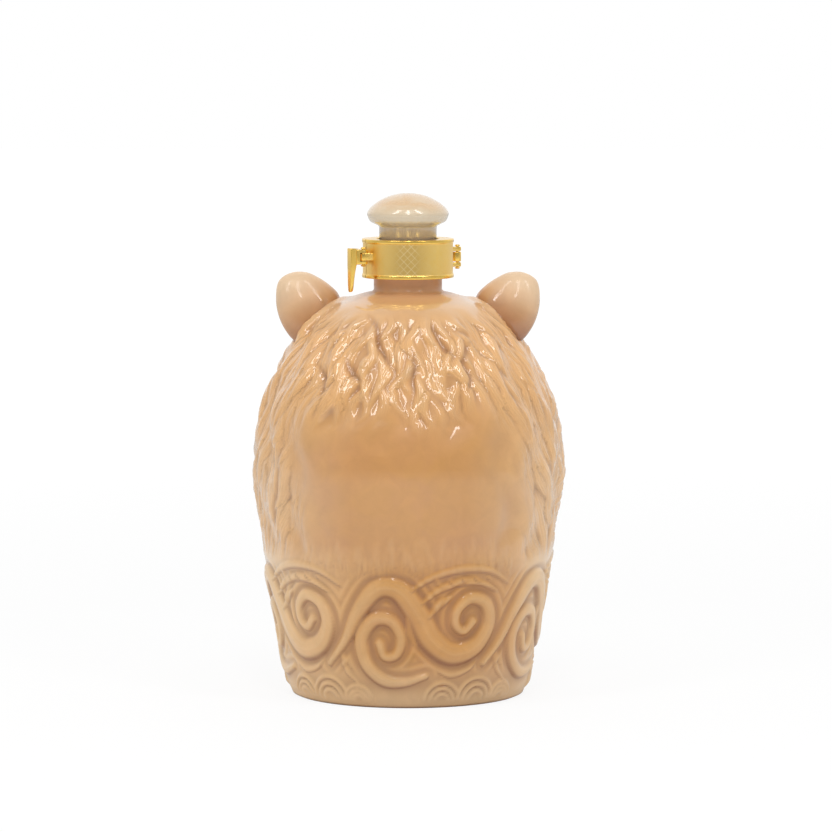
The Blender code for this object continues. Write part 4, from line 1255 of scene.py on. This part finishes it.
def painted_side_light(make, across, level):
    """Painted light that pales the glaze: reflection of the white room on the flanks and the
    band's rim, and light on the shoulders, but not on the ears.
    """
    off_middle = make.math('ABSOLUTE', across)
    flank = make.times(make.scaled(off_middle, 22 * MM, 54 * MM, 0.0, 0.42),
                       make.scaled(level, 122 * MM, 86 * MM, 0.2, 1.0))
    shoulder = make.times(make.scaled(off_middle, 4 * MM, 28 * MM, 0.25, 0.5),
                          make.scaled(level, 142 * MM, 152 * MM))
    rim = make.times(make.scaled(off_middle, 36 * MM, 50 * MM, 0.0, 0.8),
                     make.scaled(level, 66 * MM, 54 * MM))
    return make.times(make.largest(flank, shoulder, rim),
                      make.scaled(make.attribute("ear"), 0.01, 0.0))


def glazed_tan(finish):
    """Tan under a clear glaze: painted shade in brown in the grooves, ochre on the raised scrolls
    with painted light on their upper sides.
    """
    make = Finish("glazed_tan")
    across, _, level = make.axes()
    pink_clouds = make.scaled(make.noise(26 * MM, 2.0), 0.42, 0.66, 0.0, 0.45)
    warm_clouds = make.scaled(make.noise(21 * MM, 3.0), 0.45, 0.62, 0.0, 0.2)
    mottle = make.noise(7 * MM, 4.0, 0.6)
    # Paler peach over the left of the band
    left_band_peach = make.times(make.scaled(across, -6 * MM, -40 * MM, 0.0, 0.55),
                         make.scaled(level, 64 * MM, 52 * MM))
    # Painted shade in the grooves, under the band's edges and in the face's hollows, with the
    # face's own dark marks
    shade = make.largest(make.times(make.attribute("groove_shade"), 0.62),
                         make.times(make.attribute("shade_and_dark_marks"), 0.85),
                         # Painted contact shadow along the foot's edge
                         make.scaled(level, 1.1 * MM, 0.3 * MM, 0.0, 0.8))
    shade = make.times(shade, make.scaled(mottle, 0.3, 0.7, 0.8, 1.1), clamp=True)
    colour = make.coated(
        finish.tan,
        (pink_clouds, finish.blush),
        (warm_clouds, finish.ochre),
        # Painted light: ochre on the upper sides of the band's strokes
        (make.times(make.attribute("ochre"), 0.52), finish.ochre),
        (make.scaled(level, 22 * MM, 3 * MM, 0.0, 0.62), finish.bisque),
        (left_band_peach, finish.peach),
        # The mane's own straw colour, lifted as painted highlight
        (make.times(make.attribute("mane"), 0.72), finish.straw),
        (painted_side_light(make, across, level), finish.cream),
        # The neck's own brown, with painted shade under the collar
        (make.scaled(level, 153 * MM, 158 * MM, 0.0, 0.7), finish.neck_russet_and_shade),
        *ear_coats(make, finish, across),
        # Painted highlight on the crests, with the face's own pale marks
        (make.times(make.attribute("crest"), 0.30), finish.cream),
        (shade, finish.shade_and_dark_marks))
    colour = make.dimmed(colour, make.scaled(mottle, 0.25, 0.75, 0.94, 1.05))
    strand = make.times(make.attribute("strand"), strand_lines * 2 * math.pi)
    lines = make.times(make.math('SINE', strand), make.attribute("strand_depth"))
    # Painted shade in the troughs of the strand lines
    colour = make.mix(make.scaled(lines, -0.2, -1.0, 0.0, 0.11), colour, tuple(finish.shade_and_dark_marks))
    relief = make.bump(lines, 0.06 * MM)
    relief = make.bump(make.noise(1.6 * MM, 2.0), 0.03 * MM, 0.5, relief)
    wet = make.math('MINIMUM', make.scaled(level, 154 * MM, 157 * MM, 1.0, 0.2),
                    make.scaled(level, 46 * MM, 60 * MM, 0.25, 1.0))
    make.set(Base_Color=colour, Normal=relief, Specular_IOR_Level=0.3,
             Roughness=make.scaled(mottle, 0.3, 0.7, 0.30, 0.40),
             Coat_Weight=wet, Coat_Roughness=0.03, Coat_IOR=1.6)
    return make.material


def glazed_ivory(finish):
    """Ivory glaze, warmer on the dome, greyer down the shank."""
    make = Finish("glazed_ivory")
    level = make.axes()["Z"]
    clouds = make.noise(8 * MM, 3.0)
    dome = make.scaled(level, knob_high[2] - 9 * MM, knob_high[2] - 4 * MM, 0.0, 0.55)
    colour = make.coated(
        finish.ivory,
        (make.times(dome, make.scaled(clouds, 0.35, 0.6, 0.55, 1.0)), finish.ochre),
        (make.scaled(level, knob_low[2] + 10 * MM, knob_low[2] + 7 * MM, 0.0, 0.45),
         finish.shank),
        (make.scaled(make.noise(2.5 * MM, 4.0), 0.5, 0.8, 0.0, 0.12), finish.tan))
    make.set(Base_Color=colour, Roughness=make.scaled(clouds, 0.3, 0.7, 0.22, 0.30),
             Normal=make.bump(make.noise(2.0 * MM, 2.0), 0.03 * MM, 0.4),
             Coat_Weight=0.9, Coat_Roughness=0.04)
    return make.material


def natural_cork(finish):
    """Agglomerated cork: rounded grains with dark joints and pits."""
    make = Finish("natural_cork")
    grains = make.add("ShaderNodeTexVoronoi")
    make.put(grains.inputs["Vector"], make.place())
    make.put(grains.inputs["Scale"], 1 / cork_grain)
    tone = make.add("ShaderNodeSeparateColor")
    make.put(tone.inputs[0], grains.outputs["Color"])
    joint = make.scaled(grains.outputs["Distance"], 0.45, 0.75)
    pits = make.scaled(make.noise(1.1 * MM, 3.0), 0.6, 0.7)
    dark = make.largest(make.times(joint, 0.5), pits)
    colour = make.coated(finish.cork,
                         (make.scaled(tone.outputs[0], 0.0, 1.0, 0.0, 0.35), finish.cream),
                         (make.times(dark, 0.75), finish.shade_and_dark_marks))
    make.set(Base_Color=colour, Roughness=make.scaled(dark, 0, 1, 0.72, 0.92),
             Normal=make.bump(make.times(dark, -1.0), 0.25 * MM, 0.8))
    return make.material


def engraved_lines(make, around, level, off_middle):
    """Two crossed sets of lines: wide ones in the middle of the back, fine ones all round."""
    middle = make.scaled(off_middle, 5.5 * MM, 2.5 * MM, 0.12, 1.0)
    crossed = []
    for pitch, sharpness, strength in ((wide_line_pitch, 0.86, middle),
                                       (fine_line_pitch, 0.35, 0.6)):
        for slope in (-1.0, 1.0):
            slant = make.math('ADD', around, make.times(level, slope))
            swing = make.math('SINE', make.times(slant, 2 * math.pi / pitch))
            crossed.append(make.times(make.scaled(swing, sharpness, 1.0), strength))
    return make.largest(*crossed)


def collar_brass(finish, name="collar_brass", patterned=True):
    """Gold plated brass: polished rims, and a satin band crossed by fine engraved lines, darkened
    in the middle of the back as a painted dark reflection.
    """
    make = Finish(name)
    x, y, level = make.axes()
    streaks = make.noise(3.0 * MM, 4.0)
    colour = make.coated(finish.brass,
                         (make.scaled(streaks, 0.35, 0.65, 0.0, 0.30), finish.brass_streak))
    relief = make.bump(make.noise(0.7 * MM, 3.0), 0.02 * MM, 0.5)
    roughness = make.scaled(streaks, 0.3, 0.7, 0.16, 0.24)
    if patterned:
        band = make.attribute("band")
        around = make.times(make.math('ARCTAN2', y, x), collar_outer)
        off_middle = make.math('ABSOLUTE', make.math('ADD', around, math.pi / 2 * collar_outer))
        lines = make.times(engraved_lines(make, around, level, off_middle), band)
        # Painted dark reflection in the middle of the back of the band
        dark_reflection = make.times(make.scaled(off_middle, 13 * MM, 3 * MM, 0.0, 0.6), band)
        satin = make.times(make.noise(0.35 * MM, 2.0), band)
        colour = make.mix(dark_reflection, colour, tuple(finish.dark_reflection_brass))
        colour = make.mix(make.times(lines, 0.6), colour, tuple(finish.bright_brass))
        relief = make.bump(make.math('ADD', make.times(lines, -1.0), make.times(satin, 0.8)),
                           0.05 * MM, 0.7, relief)
        roughness = make.math('ADD', roughness, make.times(band, 0.14))
    make.set(Base_Color=colour, Roughness=roughness, Normal=relief, Metallic=1.0)
    return make.material


def finish_piece(piece, material, crease=40.0):
    """Give a piece its material, and smooth it but for edges sharper than crease degrees."""
    mesh = piece.data
    mesh.materials.clear()
    mesh.materials.append(material)
    mesh.shade_smooth()
    mesh.set_sharp_from_angle(angle=math.radians(crease))


def turned_mesh(name, outline, sides=128):
    """Turn (radius, height) points, bottom to top, with the first and last on the axis."""
    turn = 2 * math.pi * np.arange(sides) / sides
    rings = [np.stack((radius * np.cos(turn), radius * np.sin(turn), 0 * turn + height), axis=-1)
             for radius, height in outline[1:-1]]
    return grid_mesh(name, rings, (0, 0, outline[0][1]), (0, 0, outline[-1][1]))


def rounded(outline, radius, steps=4):
    """Round each corner of a closed outline of (x, y) points."""
    soft = []
    for index, corner in enumerate(outline):
        corner = Vector(corner)
        before = Vector(outline[index - 1]) - corner
        after = Vector(outline[(index + 1) % len(outline)]) - corner
        start = corner + before.normalized() * min(radius, before.length * 0.45)
        stop = corner + after.normalized() * min(radius, after.length * 0.45)
        for step in range(steps + 1):
            share = step / steps
            soft.append(tuple(start * (1 - share) ** 2 + corner * 2 * share * (1 - share)
                              + stop * share ** 2))
    return soft


def inset(outline, amount):
    """Move a counter-clockwise outline inwards by amount."""
    points = np.array(outline, dtype=float)
    ahead = np.roll(points, -1, axis=0) - points
    behind = points - np.roll(points, 1, axis=0)
    ahead /= np.linalg.norm(ahead, axis=1, keepdims=True)
    behind /= np.linalg.norm(behind, axis=1, keepdims=True)
    inward = np.stack((-(ahead + behind)[:, 1], (ahead + behind)[:, 0]), axis=1)
    inward /= np.linalg.norm(inward, axis=1, keepdims=True)
    return points + inward * amount


def soft_prism(name, outline, low, high, edge=soft_edge):
    """Extrude a counter-clockwise outline from low to high with rounded end edges."""
    rings = []
    for turn in (0.0, 30.0, 60.0, 90.0):
        share = math.sin(math.radians(turn))
        drop = 1 - math.cos(math.radians(turn))
        ring = inset(outline, edge * (1 - share))
        rings.append(np.column_stack((ring, np.full(len(ring), low + edge * drop))))
    mirrored = [np.column_stack((ring[:, :2], low + high - ring[:, 2]))
                for ring in reversed(rings)]
    middle = np.mean(outline, axis=0)
    return grid_mesh(name, rings + mirrored, (*middle, low), (*middle, high))


def outer_arc(radius, first, last, steps=16):
    """Points of an arc round zero, with its ends in radians."""
    return [(radius * math.cos(first + (last - first) * step / steps),
             radius * math.sin(first + (last - first) * step / steps))
            for step in range(steps + 1)]


def placed(mesh, place):
    """The mesh moved to a place."""
    mesh.transform(place)
    return mesh


def half_collar(name, start_angle, steps=96):
    """Half of the channel collar, with rolled rims and softened edges."""
    band = collar_outer - collar_rim_step
    grip = neck_width / 2 + seat_gap
    opening = collar_top_opening / 2
    section = [(grip, collar_base), (collar_outer, collar_base),
               (collar_outer, collar_base + collar_rim_height - collar_rim_step),
               (band, collar_base + collar_rim_height), (band, collar_top - collar_rim_height),
               (collar_outer, collar_top - collar_rim_height + collar_rim_step),
               (collar_outer, collar_top), (opening, collar_top),
               (opening, collar_top - collar_flange),
               (collar_inner, collar_top - collar_flange),
               (collar_inner, collar_base + collar_flange),
               (grip, collar_base + collar_flange)]
    section = np.array(rounded(section, collar_edge_radius))
    gap = seat_gap / 2 / collar_inner
    turn = start_angle + np.linspace(gap, math.pi - gap, steps)
    rings = [np.stack((section[:, 0] * math.cos(a), section[:, 0] * math.sin(a), section[:, 1]),
                      axis=-1) for a in turn[::-1]]
    mesh = grid_mesh(name, rings, rings[0].mean(axis=0), rings[-1].mean(axis=0))
    return flat_ended(mesh, len(rings) * len(section))


def flat_ended(mesh, first_middle):
    """Swap the fans at both ends of a loft for flat faces."""
    shape = bmesh.new()
    shape.from_mesh(mesh)
    shape.verts.ensure_lookup_table()
    fans = [list(shape.verts[first_middle + end].link_faces) for end in (0, 1)]
    for fan in fans:
        bmesh.ops.dissolve_faces(shape, faces=fan)
    loose = [vertex for vertex in shape.verts if not vertex.link_faces]
    bmesh.ops.delete(shape, geom=loose, context='VERTS')
    shape.to_mesh(mesh)
    shape.free()
    return mesh


def mark_band(mesh):
    """Mark the satin band between the rims for the collar's finish."""
    x, y, z = vertex_places(mesh).T
    inside = (z > collar_base + collar_rim_height - band_margin)
    inside &= z < collar_top - collar_rim_height + band_margin
    inside &= np.abs(np.hypot(x, y) - collar_outer) < collar_rim_step + band_margin
    add_map(mesh, "band", inside.astype(float))


def knuckle(low, high, side):
    """A hinge knuckle with its web; side is 1 for the front half and -1 for the rear one."""
    radius = knuckle_width / 2
    outline = outer_arc(radius, -math.pi / 2, math.pi / 2)
    root = -(hinge_reach + collar_wall / 2)
    web = [(root, side * radius), (root, side * seat_gap / 2),
           (-radius, side * seat_gap / 2), (-radius, -side * 0.4 * radius)]
    outline += web if side > 0 else list(reversed(web))
    return placed(soft_prism("knuckle", outline, low, high), hinge_frame)


def pin_bore(place, reach):
    """The tool for a pin's hole, reach long each way."""
    radius = pin_width / 2 + pivot_gap
    outline = [(0, -reach), (radius, -reach), (radius, reach), (0, reach)]
    return placed(turned_mesh("bore", outline, 32), place)


def blade_ring(height, climb, width_share=1.0, thickness_share=1.0):
    """The blade's outline at a height, where climb runs from 0 at its tip to 1 at the arm."""
    width = width_share * (blade_tip_width + climb * (blade_width - blade_tip_width)) / 2
    depth = thickness_share * (blade_tip_thickness + climb * climb
                               * (blade_thickness - blade_tip_thickness))
    outline = [(arm_length - depth, -width), (arm_length, -width), (arm_length, width),
               (arm_length - depth, width)]
    return [(x, y, height) for x, y in rounded(outline, blade_edge_radius)]


def blade_mesh(half_height):
    """The hanging thumb blade, with a rounded tip."""
    top = half_height + blade_rise
    tip = top - blade_length
    rings = [blade_ring(tip + share * blade_length, 0.0, width, depth)
             for share, width, depth in blade_tip_shares]
    rings += [blade_ring(tip + climb * (-half_height - tip), climb)
              for climb in (0.25, 0.5, 0.75, 1.0)]
    rings += [blade_ring(top - finger_edge_radius, 1.0),
              blade_ring(top, 1.0, blade_top_share, blade_top_share)]
    return grid_mesh("blade", rings, np.mean(rings[0], axis=0), np.mean(rings[-1], axis=0))


def lever_mesh():
    """The latch lever: fork and finger from one outline, and the hanging thumb blade."""
    half_height = lug_height / 2 + pivot_gap + tine_height
    half_arm = arm_width / 2
    finger_low = -latch_reach + keeper_rise + seat_gap
    finger_high = finger_low + finger_thickness
    finger_end = -(latch_offset + keeper_gap + keeper_width + finger_overhang)
    edge = finger_edge_radius
    outline = [(arm_length - blade_thickness / 2, -half_arm),
               (arm_length - blade_thickness / 2, half_arm)]
    outline += outer_arc(half_arm, math.pi / 2, math.pi, 10)
    outline += [(finger_low, -half_arm), (finger_low, finger_end + edge),
                (finger_low + edge, finger_end), (finger_high - edge, finger_end),
                (finger_high, finger_end + edge), (finger_high, -half_arm)]
    base = placed(soft_prism("latch_lever", outline, -half_height, half_height), latch_frame)
    slot_radius = lug_width / 2 + pivot_gap
    slot_side = half_arm + cut_overrun
    slot = outer_arc(slot_radius, -math.pi / 2, 0)
    slot += [(slot_radius, slot_side), (-slot_radius - cut_overrun, slot_side),
             (-slot_radius - cut_overrun, -slot_radius)]
    slot_height = lug_height / 2 + pivot_gap
    slot = soft_prism("slot", slot, -slot_height, slot_height, slot_edge)
    return combined(base, [('DIFFERENCE', placed(slot, latch_frame)),
                           ('UNION', placed(blade_mesh(half_height), latch_frame)),
                           ('DIFFERENCE', pin_bore(latch_frame, 2 * half_height))])


def rear_collar_mesh():
    """The rear half of the collar, with two hinge knuckles and the latch's lug."""
    outer = hinge_height / 2
    inner = hinge_middle_height / 2 + seat_gap
    lug = outer_arc(lug_width / 2, -math.pi / 2, math.pi / 2)
    lug += [(lug_root, lug_width / 2), (lug_root, -lug_width / 2)]
    lug = soft_prism("lug", lug, -lug_height / 2, lug_height / 2)
    return combined(half_collar("rear", split_angle + math.pi), [
        ('UNION', knuckle(inner, outer, -1)),
        ('UNION', knuckle(-outer, -inner, -1)),
        ('DIFFERENCE', pin_bore(hinge_frame, hinge_height)),
        ('UNION', placed(lug, latch_frame)),
        ('DIFFERENCE', pin_bore(latch_frame, lug_height))])


def front_collar_mesh():
    """The front half of the collar, with the middle knuckle and the latch's keeper."""
    near = -(latch_offset + keeper_gap)
    far = near - keeper_width
    crest = -latch_reach + keeper_rise
    keeper = rounded([(lug_root, far), (crest, far), (crest, near), (lug_root, near)],
                     keeper_edge_radius)
    keeper = soft_prism("keeper", keeper, -keeper_height / 2, keeper_height / 2)
    return combined(half_collar("front", split_angle), [
        ('UNION', knuckle(-hinge_middle_height / 2, hinge_middle_height / 2, 1)),
        ('DIFFERENCE', pin_bore(hinge_frame, hinge_height)),
        ('UNION', placed(keeper, latch_frame))])


def rivet_mesh(name, reach, place):
    """A pin with a domed head at each end."""
    radius = pin_width / 2
    head = radius + rivet_head_step
    low = reach + seat_gap
    dome = [(radius, low)] + [(head * reach_share, low + rivet_head_height * height_share)
                              for reach_share, height_share in rivet_dome_shares]
    outline = [(r, -z) for r, z in reversed(dome)] + dome
    return placed(turned_mesh(name, outline, 32), place)


def knob_mesh():
    """The mushroom knob with its short shank and a socket for the cork's stub."""
    base = knob_low[2]
    brim = base + brim_height
    outline = [(0, base), (knob_foot_radius, base), (shank_radius - shank_edge_radius, base),
               (shank_radius, base + shank_edge_radius), (shank_radius, brim - brim_undercut)]
    dome = smooth_curve([(knob_high[0] * reach_share, brim + dome_height * height_share)
                         for reach_share, height_share in knob_outline_shares], 8)
    outline += [tuple(point) for point in dome[:-1]] + [(0, knob_high[2])]
    socket = [(0, base - cut_overrun), (socket_radius, base - cut_overrun),
              (socket_radius, base + socket_depth), (0, base + socket_depth)]
    return combined(turned_mesh("knob", outline),
                    [('DIFFERENCE', turned_mesh("socket", socket, 96))])


def cork_mesh():
    """The stepped cork: a plug for the bore, and a stub that is glued in the knob."""
    radius = cork_high[0]
    foot = cork_low[2]
    corner = corner_share * cork_edge_radius
    edge = smooth_curve([(radius - cork_edge_radius, foot), (radius - corner, foot + corner),
                         (radius, foot + cork_edge_radius)], 4)
    outline = [(0, foot), *map(tuple, edge), (radius, rim_height - cork_top_edge),
               (radius - cork_top_edge, rim_height), (cork_stub_radius, rim_height),
               (cork_stub_radius, cork_high[2]), (0, cork_high[2])]
    return turned_mesh("cork", outline, 96)


class BOTTLE_OT_build_body(bpy.types.Operator):
    """Build the ceramic body with its mane, scrolls, face and ears"""
    bl_idname = "bottle.build_body"
    bl_label = "Ceramic body"

    def execute(self, context):
        relief = context.scene.bottle_relief
        share = 1.0
        columns = round(relief.skin_columns * share)
        rows = round(relief.skin_rows * share)
        head, tones = head_mesh(relief, columns, rows)
        ears = [ear_mesh(side) for side in (-1, 1)]
        raise_towards(head, ears)
        source = vertex_places(head)
        mesh = combined(head, [('UNION', ear) for ear in ears])
        carry_tones(source, tones, mesh)
        piece = new_piece("ceramic_body", mesh, "bottle", "glazed_tan", "bottle_body")
        finish_piece(piece, glazed_tan(context.scene.bottle_finish), 70.0)
        return {'FINISHED'}


class BOTTLE_OT_build_stopper(bpy.types.Operator):
    """Build the ivory knob and its cork"""
    bl_idname = "bottle.build_stopper"
    bl_label = "Stopper"

    def execute(self, context):
        finish = context.scene.bottle_finish
        knob = new_piece("ivory_knob", knob_mesh(), "stopper", "glazed_ivory", "stopper_knob")
        finish_piece(knob, glazed_ivory(finish), 50.0)
        cork = new_piece("cork_plug", cork_mesh(), "stopper", "natural_cork", "stopper_cork")
        finish_piece(cork, natural_cork(finish), 50.0)
        return {'FINISHED'}


class BOTTLE_OT_build_collar(bpy.types.Operator):
    """Build both halves of the collar with hinge knuckles, lug and keeper"""
    bl_idname = "bottle.build_collar"
    bl_label = "Collar"

    def execute(self, context):
        brass = collar_brass(context.scene.bottle_finish)
        for name, mesh, body, node in (
                ("collar_rear", rear_collar_mesh(), "bottle", "collar_rear_half"),
                ("collar_front", front_collar_mesh(), "collar_gate", "collar_front_half")):
            mark_band(mesh)
            piece = new_piece(name, mesh, body, "collar_brass", node)
            finish_piece(piece, brass)
        return {'FINISHED'}


class BOTTLE_OT_build_latch(bpy.types.Operator):
    """Build the latch lever and the rivets of hinge and latch"""
    bl_idname = "bottle.build_latch"
    bl_label = "Latch and rivets"

    def execute(self, context):
        finish = context.scene.bottle_finish
        lever = new_piece("lever", lever_mesh(), "latch", "collar_brass", "latch_lever")
        finish_piece(lever, collar_brass(finish, "lever_brass", False), 35.0)
        brass = collar_brass(finish, "rivet_brass", False)
        grip = lug_height / 2 + pivot_gap + tine_height
        for name, reach, place, node in (
                ("hinge_rivet", hinge_height / 2, hinge_frame, "hinge_pin"),
                ("latch_rivet", grip, latch_frame, "latch_pin")):
            mesh = rivet_mesh(name, reach, place)
            piece = new_piece(name, mesh, "bottle", "rivet_brass", node)
            finish_piece(piece, brass)
        return {'FINISHED'}


class BOTTLE_OT_build_stage(bpy.types.Operator):
    """Set the floor, the light and the camera"""
    bl_idname = "bottle.build_stage"
    bl_label = "Stage"

    def execute(self, context):
        stage = context.scene.bottle_stage
        context.scene.view_settings.view_transform = 'Standard'
        bpy.ops.mesh.primitive_plane_add(size=floor_size)
        floor = context.object
        floor.name = "floor"
        floor.data.materials.append(self.floor_material(stage))
        self.light_world(context.scene, stage)
        for name, azimuth in lamp_azimuths.items():
            self.add_lamp(name, stage.lamp_power, azimuth)
        self.add_camera(context.scene)
        return {'FINISHED'}

    @staticmethod
    def add_camera(scene):
        """The photograph's camera, with its picture centre shifted off the target."""
        camera = bpy.data.cameras.new("camera")
        camera.sensor_width = sensor_width
        camera.lens = camera_focal_pixels / picture_width * sensor_width
        camera.shift_x = (picture_width / 2 - camera_centre_pixels[0]) / picture_width
        camera.shift_y = (camera_centre_pixels[1] - picture_width / 2) / picture_width
        camera.clip_end = camera_clip_end
        holder = bpy.data.objects.new("camera", camera)
        scene.collection.objects.link(holder)
        holder.location = camera_place
        sight = Vector(camera_target) - Vector(camera_place)
        holder.rotation_euler = sight.to_track_quat('-Z', 'Y').to_euler()
        scene.camera = holder

    @staticmethod
    def add_lamp(name, power, azimuth):
        """A tall lamp aimed at the bottle; azimuth is counted from the camera towards +X."""
        lamp = bpy.data.lights.new(name, 'AREA')
        lamp.shape = 'RECTANGLE'
        lamp.size, lamp.size_y = lamp_size
        lamp.energy = power
        holder = bpy.data.objects.new(name, lamp)
        bpy.context.scene.collection.objects.link(holder)
        rise = math.radians(lamp_elevation)
        turn = math.radians(azimuth)
        out = Vector((math.sin(turn) * math.cos(rise), -math.cos(turn) * math.cos(rise),
                      math.sin(rise)))
        holder.location = Vector(camera_target) + out * lamp_distance
        holder.rotation_euler = (-out).to_track_quat('-Z', 'Y').to_euler()

    @staticmethod
    def floor_material(stage):
        """Paper that takes the bottle's soft shadow and fades into the white round it."""
        make = Finish("floor_paper")
        shade = make.scaled(make.noise(0.25, 2.0), 0.3, 0.7, 0.985, 1.0)
        make.set(Base_Color=make.dimmed(tuple(stage.floor_colour), shade), Roughness=0.9)
        away = make.add("ShaderNodeVectorMath", operation='LENGTH')
        make.put(away.inputs[0], make.place())
        glow = make.add("ShaderNodeEmission")
        make.put(glow.inputs[1], make.scaled(away.outputs[1], 0.3, 1.5, 1.0, 1.09))
        blend = make.add("ShaderNodeMixShader")
        make.put(blend.inputs[0], make.times(make.camera_sees(), 0.88))
        make.put(blend.inputs[1], make.shader.outputs[0])
        make.put(blend.inputs[2], glow.outputs[0])
        make.put(make.output.inputs[0], blend.outputs[0])
        return make.material

    @staticmethod
    def light_world(scene, stage):
        """White for the camera, and for the bottle an even sky that is full on the far side."""
        world = bpy.data.worlds.new("studio")
        scene.world = world
        world.use_nodes = True
        make = Nodes(world.node_tree)
        sky = world.node_tree.nodes["Background"]
        make.put(sky.inputs[0], (1.0, 1.0, 1.0, 1.0))
        depth = make.axes(make.add("ShaderNodeTexCoord").outputs["Generated"])["Y"]
        even = 1.12 * stage.sky_strength
        near = make.scaled(depth, -1.0, -0.5, 0.70 * stage.sky_strength, even, 'SMOOTHSTEP')
        far = make.scaled(depth, -0.1, 0.8, 0.0, 1.0 - even, 'SMOOTHSTEP')
        level = make.math('ADD', near, far)
        make.put(sky.inputs[1], make.scaled(make.camera_sees(), 0.0, 1.0, level, 1.0))


class BOTTLE_PT_sidebar(bpy.types.Panel):
    """Lists the sizes, finishes and build steps of the bottle"""
    bl_idname = "BOTTLE_PT_sidebar"
    bl_label = "Lion Head Bottle"
    bl_space_type = 'VIEW_3D'
    bl_region_type = 'UI'
    bl_category = "Bottle"

    def draw(self, context):
        for title, group in (("Relief", context.scene.bottle_relief),
                             ("Finish", context.scene.bottle_finish),
                             ("Stage", context.scene.bottle_stage)):
            box = self.layout.box()
            box.label(text=title)
            for name in group.__annotations__:
                box.prop(group, name)
        for operator in build_steps:
            self.layout.operator(operator.bl_idname)


build_steps = (BOTTLE_OT_build_stage, BOTTLE_OT_build_body, BOTTLE_OT_build_stopper,
               BOTTLE_OT_build_collar, BOTTLE_OT_build_latch)
classes = (BottleReliefSettings, BottleFinishSettings, BottleStageSettings, *build_steps,
           BOTTLE_PT_sidebar)


def register():
    for kind in classes:
        bpy.utils.register_class(kind)
    bpy.types.Scene.bottle_relief = PointerProperty(type=BottleReliefSettings)
    bpy.types.Scene.bottle_finish = PointerProperty(type=BottleFinishSettings)
    bpy.types.Scene.bottle_stage = PointerProperty(type=BottleStageSettings)


def unregister():
    del bpy.types.Scene.bottle_stage
    del bpy.types.Scene.bottle_finish
    del bpy.types.Scene.bottle_relief
    for kind in reversed(classes):
        bpy.utils.unregister_class(kind)


def main():
    register()
    bpy.ops.bottle.build_stage()
    bpy.ops.bottle.build_body()
    bpy.ops.bottle.build_stopper()
    bpy.ops.bottle.build_collar()
    bpy.ops.bottle.build_latch()


if __name__ == "__main__":
    main()
